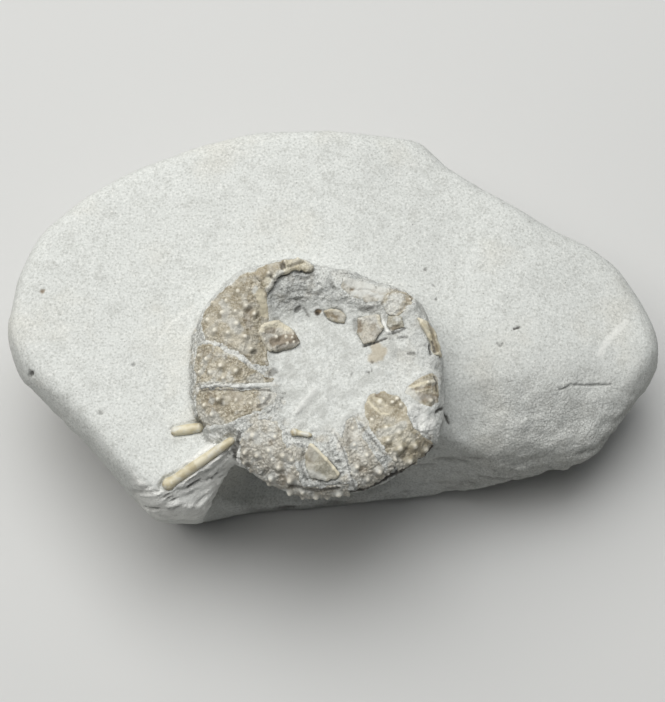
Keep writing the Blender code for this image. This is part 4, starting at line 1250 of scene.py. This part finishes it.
SPINES: tuple[Spine, ...] = (
    Spine(
        "long_spine", (-42.9, -47.6, 48.6), (-25.7, -37.5, 55.8),
        ((0, 0.9), (0.5, 1.35), (1.3, 1.6), (2, 1.45), (2.8, 1.25), (10, 1.3), (17, 1.15),
         (20.6, 0.95), (21.2, 0.5)),
    ),
    Spine(
        "short_spine", (-41.6, -33.8, 49.7), (-33.4, -32.6, 50.3),
        ((0, 0.5), (0.7, 1.15), (4, 1.35), (7.4, 1.2), (8, 0.6)),
        milled_from=-5, milled_to=-4, mud=0.72,
    ),
    Spine(
        "small_spine", (-11.6, -36.7, 59.3), (-6.6, -37.6, 59.1),
        ((0, 0.4), (0.4, 0.95), (1.2, 0.95), (1.8, 0.7), (4.4, 0.65), (5.1, 0.35)),
        sides=24, threads=10, thread_depth=0.015, milled_from=-5, milled_to=-4, mud=0.8,
    ),
)


# ---- the stone -------------------------------------------------------------------------------

@dataclass(frozen=True)
class Mark(Stroke):
    """A scratch, crease, pit or stain on the stone.

    A path in plan marks the top alone, and a path in space marks any side.
    """

    def gap(self, points: Array) -> Array:
        """Distance of points to the path, in plan or in space as the path is."""
        return path_distance(points[:, :len(self.path[0])], np.array(self.path))

    def share(self, points: Array, top: Array) -> Array:
        """How far each point is covered, from 0 to 1; top says how far it is on the top."""
        gap = self.gap(points) * (1.0 + 0.5 * Pattern.MARK_EDGE.at(points))
        share = 1.0 - smooth(gap, 0.3 * self.reach, self.reach)
        return share * top if len(self.path[0]) == 2 else share


@dataclass
class MatrixStone:
    """The stone, with the mud that fills the urchin, as one closed mesh."""

    plates: tuple[ShellPlate, ...]
    spines: tuple[Spine, ...]
    marks: tuple[Mark, ...] = ()
    daubs: tuple[Daub, ...] = ()
    voxel: float = 1.26
    soften_rounds: int = 5
    pocket_depth: float = 2.4
    flush_below: float = 0.5
    front: tuple[Place, Place] = ((203.0, 225.0), (322.0, 334.0))
    left: tuple[Place, Place] = ((140.0, 165.0), (200.0, 215.0))
    back: tuple[Place, Place] = ((25.0, 50.0), (122.0, 135.0))
    lobe_x: tuple[Place, Place] = ((-53.0, -47.0), (-25.0, -21.0))
    hollow_x: tuple[Place, Place] = ((-27.0, -22.0), (-6.0, 10.0))
    ledge_run: Place = (0.85, 1.0)
    groove_run: tuple[Place, Place] = ((0.2, -0.57), (0.14, 0.82))
    wall_run: Spot = (0.22, 0.3, 1.0)
    ridge_run: Place = (0.34, 1.2)
    ridge_plane: tuple[Spot, Spot] = ((0.79, 0.62, 0.0), (0.49, -0.62, -0.62))

    def plug(self, form: UrchinForm, plate: ShellPlate) -> bpy.types.Mesh:
        """Closed block of mud that fills the pocket of a plate."""
        corners = anticlockwise(form.corners(plate.outline))
        run = np.roll(corners, -1, axis=0) - np.roll(corners, 1, axis=0)
        outward = np.stack([run[:, 1], -run[:, 0]], axis=1) / np.linalg.norm(run, axis=1)[:, None]
        edge = corners + outward * 0.8
        flat, faces, rim = fill(edge, lattice(edge, 2.6, 1.2, 3))
        count = len(flat)
        points = np.vstack([form.place(flat, 0.0), form.place(flat, -self.pocket_depth)])
        faces = faces + [[count + i for i in reversed(face)] for face in faces]
        return closed_mesh("plug", points, faces + band(rim, rim + count))

    def groove_fill(self, spine: Spine) -> bpy.types.Mesh:
        """Rod of stone that fills the lower half of a spine's groove."""
        base, tip = Vector(spine.base), Vector(spine.tip)
        run = tip - base
        place = Matrix.Translation((base + tip) * 0.5 - Vector((0.0, 0.0, 0.75)))
        place = place @ run.to_track_quat("Z", "X").to_matrix().to_4x4()
        radius = max(r for _, r in spine.profile) + 0.5
        shape = bmesh.new()
        bmesh.ops.create_cone(shape, cap_ends=True, segments=16, radius1=radius, radius2=radius,
                              depth=run.length + 1.0, matrix=Matrix.Scale(MM, 4) @ place)
        mesh = bpy.data.meshes.new("groove_fill")
        shape.to_mesh(mesh)
        shape.free()
        return mesh

    def blank(self, form: UrchinForm) -> bpy.types.Mesh:
        """The solid stone with its pockets filled, as an even net of faces."""
        shape = bmesh.new()
        shape.from_mesh(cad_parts["matrix_stone"].data)
        fillers = [self.plug(form, plate) for plate in self.plates]
        fillers += [self.groove_fill(spine) for spine in self.spines]
        for mesh in fillers:
            shape.from_mesh(mesh)
            bpy.data.meshes.remove(mesh)
        joined = bpy.data.meshes.new("joined")
        shape.to_mesh(joined)
        shape.free()
        holder = link("joined", joined)
        remesh = holder.modifiers.new("even", "REMESH")
        remesh.mode = "VOXEL"
        remesh.voxel_size = self.voxel * MM
        soften = holder.modifiers.new("soften", "SMOOTH")
        soften.iterations = self.soften_rounds
        bpy.context.view_layer.update()
        final = holder.evaluated_get(bpy.context.evaluated_depsgraph_get())
        mesh = bpy.data.meshes.new_from_object(final)
        bpy.data.objects.remove(holder, do_unlink=True)
        return mesh

    def wanted(self, form: UrchinForm, places: Array) -> Array:
        """How many times the faces at these places are split."""
        x, y, z = places.T
        flat, lift = form.locate(places)
        distance = np.linalg.norm(flat, axis=1)
        on_drum = (np.abs(lift) < 2.2) & (z > 48.5) & (distance < 40.0)
        level = np.where(on_drum, np.where(distance > 12.5, 2, 1), 0)
        drum = np.nonzero(on_drum)[0]
        for plate in self.plates:
            close, outward = plate.outward(form, flat[drum], 0.0)
            level[drum[close[outward < -1.1]]] = 0
        lobe = (x < -22.0) & (x > -52.0) & (y < -32.0) & (z > 32.0)
        level[lobe] = np.maximum(level[lobe], 1)
        for spine in self.spines:
            level[(spine.near(places)[0] < 2.6) & (z > 44.0)] = 2
        for mark in self.marks:
            level[(z > 30.0) & (mark.gap(places) < mark.reach + 0.8)] = 2
        return level

    def refine(self, mesh: bpy.types.Mesh, form: UrchinForm) -> None:
        """Splits the faces where fine relief is wanted."""
        for level in (1, 2):
            shape = bmesh.new()
            shape.from_mesh(mesh)
            places = np.array([tuple(f.calc_center_median()) for f in shape.faces]) / MM
            chosen = self.wanted(form, places) >= level
            shape.faces.ensure_lookup_table()
            edges = {e for i in np.nonzero(chosen)[0] for e in shape.faces[i].edges}
            ordered = sorted(edges, key=lambda e: e.index)
            bmesh.ops.subdivide_edges(shape, edges=ordered, cuts=1, use_grid_fill=True)
            bmesh.ops.triangulate(shape, faces=[f for f in shape.faces if len(f.verts) > 4])
            shape.to_mesh(mesh)
            shape.free()

    def beside_plates(self, form: UrchinForm, flat: Array, lift: Array) -> tuple[Array, Array]:
        """Mud fitted to the plates: flush with the low ones and under all of them.

        Args:
            form: The urchin's surface.
            flat: Unrolled places, one a row.
            lift: Lift of the mud before it is fitted.

        Returns:
            The fitted lifts, and the distance to the nearest raised plate.
        """
        beside = np.full(len(flat), np.inf)
        fitted = lift.copy()
        for plate in self.plates:
            close, outward = plate.outward(form, flat, 2.0)
            if plate.proud <= self.flush_below:
                flush = plate.proud - 0.05 + 0.7 * lift[close]
                share = 1.0 - smooth(outward, 0.5, 1.9)
                fitted[close] = fitted[close] * (1.0 - share) + flush * share
            else:
                beside[close] = np.minimum(beside[close], np.maximum(outward, 0.0))
            under = 1.0 - smooth(outward, -0.75, -0.15)
            hidden = np.minimum(fitted[close], -0.3)
            fitted[close] = fitted[close] * (1.0 - under) + hidden * under
        return fitted, beside

    def drum_skin(self, form: UrchinForm, flat: Array) -> tuple[Array, Fields]:
        """Lift and colour fields of the mud over and between the plates."""
        bearing, distance = polar(flat)
        bearing = bearing % 360.0
        outer = smooth(distance, 15.0, 20.5)
        front = between(bearing, *self.front)
        slope = between(bearing, *self.back) * smooth(distance, 14.0, 17.5)
        pebbly = outer * np.clip(0.22 + 0.78 * front + 0.7 * between(bearing, *self.left), 0.0, 1.0)
        gritty = [d.strength * d.share(form, flat) for d in self.daubs if d.kind == "grit"]
        pebbly = np.maximum.reduce([pebbly, *gritty])
        away, number = Grain.beads(flat, GRANULE_GAP, 53)
        grain = dome(away, 0.22 + 0.22 * number) * (number < 0.8)
        middling, mark = Grain.beads(flat, 2.1, 55)
        pebble = dome(middling, 0.32 + 0.3 * mark) * (mark < 0.38)
        fine = dome(Grain.beads(flat, FINE_GAP, 57)[0], 0.3)
        broken = Pattern.BROKEN.at(flat)
        ledges = Pattern.LEDGES.at(flat * np.array(self.ledge_run))
        grooves = Pattern.GROOVES.at(flat @ np.array(self.groove_run))
        streaks = smooth(Pattern.STREAKS.at(flat), 0.0, 0.6)
        lift = 0.2 * Pattern.MUD_SWELL.at(flat) + 0.07 * Pattern.MUD_DENTS.at(flat)
        lift += pebbly * (0.2 * grain + 0.3 * pebble + 0.32 * broken) + 0.08 * outer * fine
        lift += slope * 0.24 * ledges + 0.1 * (1.0 - outer) * grooves
        lift, beside = self.beside_plates(form, flat, lift)
        # rim: patches where the mud dips beside the raised plates and gets painted shade
        rim = smooth(Pattern.MUD_SHADE.at(flat), -0.3, 0.35)
        lift -= 0.3 * rim * (1.0 - smooth(beside, 0.1, 0.7))
        gaps = smooth(away, 0.36, 0.6) * smooth(Pattern.MUD_PATCHES.at(flat), -0.1, 0.6)
        # painted shade: dark in the gaps between granules and in the low parts of the broken mud
        # and the slope's ledges
        crevice = pebbly * (0.55 * gaps + 0.45 * smooth(-broken, 0.3, 0.75))
        crevice += slope * 0.22 * smooth(-ledges, 0.2, 0.75)
        crevice += 0.55 * rim * (1.0 - smooth(beside, 0.1, 0.5))
        worn = 0.4 * smooth(grooves, 0.1, 0.6) + 0.3 * smooth(-flat[:, 0], 0.0, 12.0) * streaks
        fields = {
            "crevice": crevice,
            # white on the tops of granules and pebbles, partly pale mud and partly a painted
            # highlight
            "white": pebbly * (0.45 * grain * number + 0.55 * pebble),
            "tan": 0.4 * pebbly * smooth(Pattern.TAN.at(flat), 0.05, 0.5),
            "brown": np.zeros(len(flat)),
            "grit": np.clip(pebbly + 0.4 * slope + 0.12, 0.0, 1.0),
            "shade": (0.5 - 0.25 * outer) * streaks + 0.06 * front * outer + (1.0 - outer) * worn,
        }
        for daub in self.daubs:
            if daub.kind != "grit":
                lift -= daub.colour(fields, daub.share(form, flat))
        return lift, fields

    def rock_skin(self, points: Array, normals: Array, fields: Fields) -> Array:
        """Relief of the bare stone, with its colours added to the fields.

        Args:
            points: Points of the mesh in millimetres, one a row.
            normals: Directions out of the mesh there.
            fields: Values by name, which this adds to.

        Returns:
            How far each point moves outwards.
        """
        x, y, z = points.T
        steep = 1.0 - smooth(normals[:, 2], 0.3, 0.75)
        front = smooth(-y, 8.0, 26.0) * smooth(x, 22.0, 45.0)
        wall = steep * smooth(-y, 20.0, 30.0) * smooth(x, -22.0, -12.0)
        # hollow: the recessed wall under the urchin, which is given painted shade below
        hollow = steep * between(x, *self.hollow_x) * smooth(-y, 27.0, 32.0)
        hollow = hollow * (1.0 - smooth(z, 44.0, 49.0))
        lobe = between(x, *self.lobe_x) * smooth(-y, 35.0, 38.0) * smooth(z, 30.0, 36.0)
        lobe = lobe * (1.0 - smooth(normals[:, 2], 0.66, 0.82))
        dents = Pattern.FRONT_DENTS.at(points)
        streaks = Pattern.WALL.at(points * np.array(self.wall_run))
        split = points @ np.array(self.ridge_plane).T
        ridges = Pattern.RIDGES.at(split * np.array(self.ridge_run))
        move = 0.15 * Pattern.SWELL.at(points) + front * (0.46 + 0.3 * steep) * dents
        move += 0.25 * steep * (y < 0.0) * Pattern.SIDE_DENTS.at(points)
        move += 0.6 * wall * streaks + 0.7 * lobe * ridges
        # painted shade: dark in the hollows between the lobe's ridges and the wall's ledges, and
        # over the recessed hollow wall
        fields["crevice"] += 0.6 * lobe * smooth(-ridges, 0.25, 0.8)
        fields["crevice"] += 0.45 * (wall * smooth(-streaks, 0.2, 0.8) + hollow)
        # painted light: the lobe's broken face is whitened to look well lit
        fields["white"] += 0.9 * lobe
        fields["grit"] += 0.6 * lobe + 0.8 * front
        fields["shade"] += front * (0.3 + 0.4 * steep) * smooth(dents, -0.6, 0.6)
        fields["shade"] += 0.4 * front * smooth(Pattern.FRONT_SHADE.at(points), 0.0, 0.5)
        return move

    def cleared(self, points: Array) -> Array:
        """Points of the stone lowered to free the upper half of each spine."""
        points = points.copy()
        for spine in self.spines:
            gap, height, radius = spine.near(points)
            ceiling = height - 0.25 * radius
            share = (1.0 - smooth(gap, radius + 0.15, radius + 1.1)) * (points[:, 2] > ceiling)
            points[:, 2] += share * (ceiling - points[:, 2])
        return points

    @staticmethod
    def read(mesh: bpy.types.Mesh, what: str) -> Array:
        """Places or normals of a mesh's points, one a row."""
        values = np.empty(len(mesh.vertices) * 3)
        mesh.vertices.foreach_get(what, values)
        return values.reshape(-1, 3)

    def build(self, form: UrchinForm) -> bpy.types.Object:
        """Builds the stone as one closed mesh that replaces its solid."""
        mesh = self.blank(form)
        self.refine(mesh, form)
        points, normals = self.read(mesh, "co") / MM, self.read(mesh, "normal")
        flat, lift = form.locate(points)
        close = (np.abs(lift) < 3.0) & (np.linalg.norm(flat, axis=1) < 48.0)
        weight = np.where(close, smooth(points[:, 2], 49.9, 51.3), 0.0)
        weight *= 1.0 - smooth(np.abs(lift), 2.0, 3.0)
        skin, fields = self.drum_skin(form, flat)
        fields = {kind: values * weight for kind, values in fields.items()}
        move = self.rock_skin(points, normals, fields)
        top = smooth(normals[:, 2], 0.2, 0.5) * (points[:, 2] > 36.0) * (1.0 - weight)
        for mark in self.marks:
            move -= mark.colour(fields, mark.share(points, top))
        move *= smooth(points[:, 2], 0.3, 3.0)
        stone = points + normals * move[:, None]
        stone[:, 2] = np.where(points[:, 2] < 0.3, points[:, 2], stone[:, 2])
        share = weight[:, None]
        final = self.cleared(stone * (1.0 - share) + form.place(flat, skin) * share)
        mesh.vertices.foreach_set("co", (final * MM).ravel())
        mesh.update()
        mesh.materials.clear()
        made = make_piece("limestone_matrix", mesh, fields)
        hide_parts("matrix_stone")
        return made


MUD_DAUBS: tuple[Daub, ...] = Daub.rows(
    white=(((0.55, 0.5), (166.5, 32), (169.6, 27.6), (172.6, 24), (176.8, 20.6), (183, 16.4)),
           ((0.5, 0.55), (190.2, 32.4), (193, 26.5), (197.4, 21.5), (200.4, 16.6), (206, 11.6)),
           ((0.9, 0.3, -0.4), (263.1, 6.6), (251.5, 10.2), (247.3, 13.4)),
           ((0.75, 0.4), (281.9, 17.6), (283.6, 22.4), (284.9, 27.6), (285.6, 32.6)),
           ((2.4, 0.6), (324.8, 29.6), (331.2, 28.2), (331.8, 31.4)),
           ((1.5, 0.6), (336, 27.6), (332.4, 25.6)),
           ((0.5, 0.8, -0.35), (37.6, 20.4), (36.4, 19.8), (30.2, 19.3), (25, 19.2)),
           ((0.45, 0.8, -0.3), (24.6, 19.4), (23.6, 20.9), (22.4, 23)),
           ((0.4, 0.6, -0.2, 0.15), (48.6, 20), (46.6, 21.2), (44.6, 20.4), (46.4, 19.2),
            (48.6, 20))),
    crevice=(((0.32, 0.75, 0.2), (191.5, 31.4), (194.2, 26.5), (200.2, 20.4), (205, 15.6)),
             ((1, 0.55, 0.15), (192.2, 12), (188.4, 10.9)),
             ((0.7, 0.6, 0.3), (215, 15.6), (217, 14.2), (220, 15)),
             ((0.28, 0.55, 0.12), (282.4, 18.5), (285.2, 22.1), (285.8, 25.6), (286, 30),
              (286.4, 33.6)),
             ((0.3, 0.6, 0.15), (303.2, 18.6), (304, 22.2), (304.6, 24.7), (305, 28)),
             ((0.3, 0.6, 0.2), (324.6, 28.6), (325.9, 30.5), (327.6, 32.7)),
             ((1.3, 0.8, 0.5), (225, 28.9), (225.9, 31.4), (228.2, 33.7)),
             ((0.8, 0.7, 0.3), (222.6, 26.4), (224.4, 28.8)),
             ((0.6, 0.5, 0.2), (260.6, 22), (261.2, 26.4), (264.6, 29.6)),
             ((0.6, 0.8, 0.4), (338.3, 31.9), (340.6, 33.1), (342.1, 34.5)),
             ((0.6, 0.9, 0.3), (90.5, 13.3), (91.5, 13.3)),
             ((0.75, 0.7, 0.3), (107.5, 15.6), (112, 15.2)),
             ((0.4, 0.5, 0.2), (104, 15.2), (100.8, 13)),
             ((0.6, 0.3, 0.25), (104, 23.6), (100, 22.4), (96.3, 22.6)),
             ((0.4, 0.3, 0.2), (113.7, 18.4), (108, 17.6), (103, 18)),
             ((0.8, 0.5, 0.3), (97, 24), (93.5, 23.4)),
             ((0.5, 0.4, 0.25), (98, 18.6), (90.4, 18.2)),
             # painted shadow below the upper-left rim piece
             ((0.4, 0.3, 0.15), (127.6, 22), (121.9, 22.9), (115.5, 24), (110.3, 24.6)),
             ((0.35, 0.5, 0.25), (104, 24.6), (98, 24.2), (93, 24.8)),
             # painted shadow under the square plate's lower edge
             ((0.34, 0.85, 0.3), (23.2, 12.4), (22.2, 15), (21.6, 18.2)),
             ((0.35, 0.6, 0.2), (23, 20.2), (22.2, 22), (22.4, 23.6)),
             ((0.8, 0.4, 0.1), (51.4, 14.6), (45.5, 13)),
             ((0.7, 0.4, 0.15), (54, 17.4), (49, 18.6), (44, 20.4)),
             ((0.4, 0.5, 0.15), (18.8, 20.8), (16.9, 22.9)),
             ((0.9, 0.45, 0.2), (46.5, 19.3), (45.4, 19)),
             ((0.6, 0.5, 0.3), (43.7, 22.4), (40.6, 24.6)),
             ((0.4, 0.65, 0.25), (76, 24.4), (70.5, 25.6), (58, 26.8), (48.9, 27.6)),
             ((0.6, 0.5, 0.2), (80.5, 21), (78, 20)),
             ((0.45, 0.6, 0.2), (6.7, 22.3), (6.3, 23.8)),
             ((0.4, 0.6, 0.2), (354.1, 13.3), (353, 13.3)),
             ((0.45, 0.7, 0.25), (351.2, 12.4), (350.6, 12.6)),
             ((0.45, 0.6, 0.2), (3.1, 13.3), (2.5, 13.4)),
             ((0.35, 0.6, 0.15), (343.9, 8.6), (343, 8.6)),
             ((0.5, 0.8, 0.4), (10.3, 28.2), (6.2, 28.2)),
             # painted shadow along the urchin's lower front edge
             ((1.2, 0.9, 0.4, 0.7), (285.6, 34.6), (293, 35), (300, 34.6), (306, 34.6),
              (311, 35.6))),
    grit=(((2, 0.8), (166.5, 32), (171.2, 26), (180, 19), (190, 13)),
          ((2.6, 0.9), (210, 13.4), (222, 13.8), (228, 18)),
          ((1.6, 0.9), (303, 17), (304.2, 24), (304.6, 32), (286, 33), (283, 18)),
          ((3.4, 0.4), (112.3, 22.6), (101.9, 22.7), (90, 21.6), (104.8, 18.8), (117.3, 18.9)),
          ((3, 0.9), (65.6, 20.7), (51.3, 21.7), (44.2, 23.5), (42.1, 27.6), (36, 24))),
    shade=(((2.6, 0.8), (208.2, 15), (218.1, 13), (222, 17), (208, 13)),
           ((1.6, 0.6, 0.2), (268, 7.8), (257.5, 11), (252.3, 14)),
           ((3.4, 0.2), (112.3, 23.6), (101.9, 23.7), (95.8, 22), (104.8, 18.8), (117.3, 18.9)),
           ((1.5, 0.7), (15, 18.8), (8, 19.2)),
           ((1.6, 0.7), (47, 20.6), (40, 21.4), (52, 18.4)),
           ((2.2, 0.8), (60, 20.9), (51.3, 21.2), (44.2, 23), (36, 21.4))),
    brown=(((0.85, 0.9, 0.45), (89.4, 13.9), (91, 13.7)),
           ((0.9, 0.5, 0.3), (45.1, 28.5), (42, 29))),
    tan=(((1.9, 0.65, -0.1, 0.3), (17.5, 15), (11, 15.4), (7, 13.8)),
         ((1.5, 0.65, 0, 0.3), (12.5, 16.4), (7.5, 15)),
         ((1.8, 0.45), (44.4, 26), (41, 26.6), (43, 23.7))),
)

MARKS: tuple[Mark, ...] = Mark.rows(
    brown=(((0.8, 0.8, 0.2), (-75.9, 4), (-75.6, 3.9)),),
    crevice=(((0.9, 0.8, 0.5), (-78.2, -17.5), (-77.7, -17.4)),
             ((0.8, 0.5, 0.4), (-59.5, -28.8), (-59.3, -28.8)),
             ((0.7, 0.5, 0.4), (-51.8, -16), (-51.6, -16)),
             ((0.5, 0.9, 0.3), (45.3, -4.2), (46.6, -3.8)),
             ((0.4, 0.5, 0.2), (40.8, -8.2), (41.5, -9), (42.1, -8.3)),
             ((0.6, 0.6, 0.2), (22.5, 11.6), (22.6, 11.6)),
             ((0.5, 0.6, 0.2), (25.2, 3.5), (25.3, 3.5)),
             ((0.5, 0.5, 0.2), (24.5, 7.4), (24.6, 7.4)),
             ((0.4, 0.3, 0.35), (57.2, -19), (60, -17.6), (63.9, -17.3), (70.6, -16.7)),
             ((0.45, 0.9, 0.4), (24.6, -28), (25.2, -26), (26.4, -25.4), (27.6, -26.4),
              (28.3, -28)),
             ((0.7, 0.8, 0.4), (26.5, -19.7), (26.7, -19.9)),
             ((0.5, 0.9, 0.5), (-26.9, -34.9), (-25.6, -33.6), (-24.5, -33.2)),
             # painted shadow along the contact line under the urchin's front edge
             ((1, 0.9, 0.8), (3.8, -49.6, 49.5), (8.6, -48.1, 49.5), (12.6, -46.2, 49.5),
              (16.6, -43.8, 49.5), (20.3, -41, 49.5), (23.4, -37.5, 49.5))),
    white=(((0.4, 0.35, 0.08), (-46.4, -10.7), (-42.3, -4.4), (-36.1, 0.8)),
           ((1.1, 0.5), (75.4, 0.3), (69.7, -5.7), (67.7, -9.3))),
)


# ---- the studio ------------------------------------------------------------------------------

@dataclass
class Studio:
    """Camera, floor and soft light, in metres."""

    target: Spot = (-0.0015, -0.01065, 0.045)
    elevation: float = 70.0
    distance: float = 0.45
    lens: float = 90.32
    sensor: float = 36.0
    floor_half: float = 3.0
    lamp_target: Spot = (0.0, 0.0, 0.04)

    def camera(self) -> None:
        """Places the camera above and in front of the stone."""
        data = bpy.data.cameras.new("camera")
        data.lens = self.lens
        data.sensor_width = self.sensor
        data.clip_start = 0.01
        made = link("camera", data)
        rise = math.radians(self.elevation)
        back = Vector((0.0, -math.cos(rise), math.sin(rise)))
        made.location = Vector(self.target) + back * self.distance
        made.rotation_euler = (-back).to_track_quat("-Z", "Y").to_euler()
        bpy.context.scene.camera = made

    def floor(self) -> None:
        """Lays the floor that the stone stands on."""
        mesh = bpy.data.meshes.new("floor")
        half = self.floor_half
        corners = [(-half, -half, 0), (half, -half, 0), (half, half, 0), (-half, half, 0)]
        mesh.from_pydata(corners, [], [(0, 1, 2, 3)])
        made = link("floor", mesh)
        made.data.materials.append(PaleFloor().material())

    def lamp(self, name: str, place: Spot, size: float, power: float, tint: Spot) -> None:
        """Hangs one square lamp that faces the stone."""
        data = bpy.data.lights.new(name, "AREA")
        data.size = size
        data.energy = power
        data.color = tint
        made = link(name, data)
        made.location = place
        aim = Vector(self.lamp_target) - Vector(place)
        made.rotation_euler = aim.to_track_quat("-Z", "Y").to_euler()

    def light(self) -> None:
        """Lights the stone softly from behind, on the left and above, with a little fill."""
        self.lamp("key", (-0.44, 0.38, 1.2), 1.5, 21.0, (1.0, 0.99, 0.97))
        self.lamp("top", (0.1, 0.45, 1.4), 1.0, 9.0, (0.96, 0.98, 1.0))
        world = bpy.data.worlds.new("room")
        world.use_nodes = True
        background = world.node_tree.nodes["Background"]
        background.inputs["Color"].default_value = (0.93, 0.96, 1.0, 1.0)
        background.inputs["Strength"].default_value = 0.08
        bpy.context.scene.world = world
        bpy.context.scene.view_settings.view_transform = "Standard"


def finish(made: bpy.types.Object, material: bpy.types.Material) -> None:
    """Gives a piece its finish and reports it."""
    made.data.materials.append(material)
    LOG.info("%s: %d faces", made.name, len(made.data.polygons))


def main() -> None:
    """Builds and dresses the whole fossil."""
    logging.basicConfig(level=logging.INFO, format="%(message)s")
    form = UrchinForm()
    studio = Studio()
    studio.camera()
    shells = {tone: Shell(tone).material() for tone in ShellTone}
    for plate in PLATES:
        finish(plate.build(form), shells[plate.tone])
    calcite = Calcite().material()
    for spine in SPINES:
        finish(spine.build(), calcite)
    finish(MatrixStone(PLATES, SPINES, MARKS, MUD_DAUBS).build(form), Limestone().material())
    studio.floor()
    studio.light()


if __name__ == "__main__":
    main()
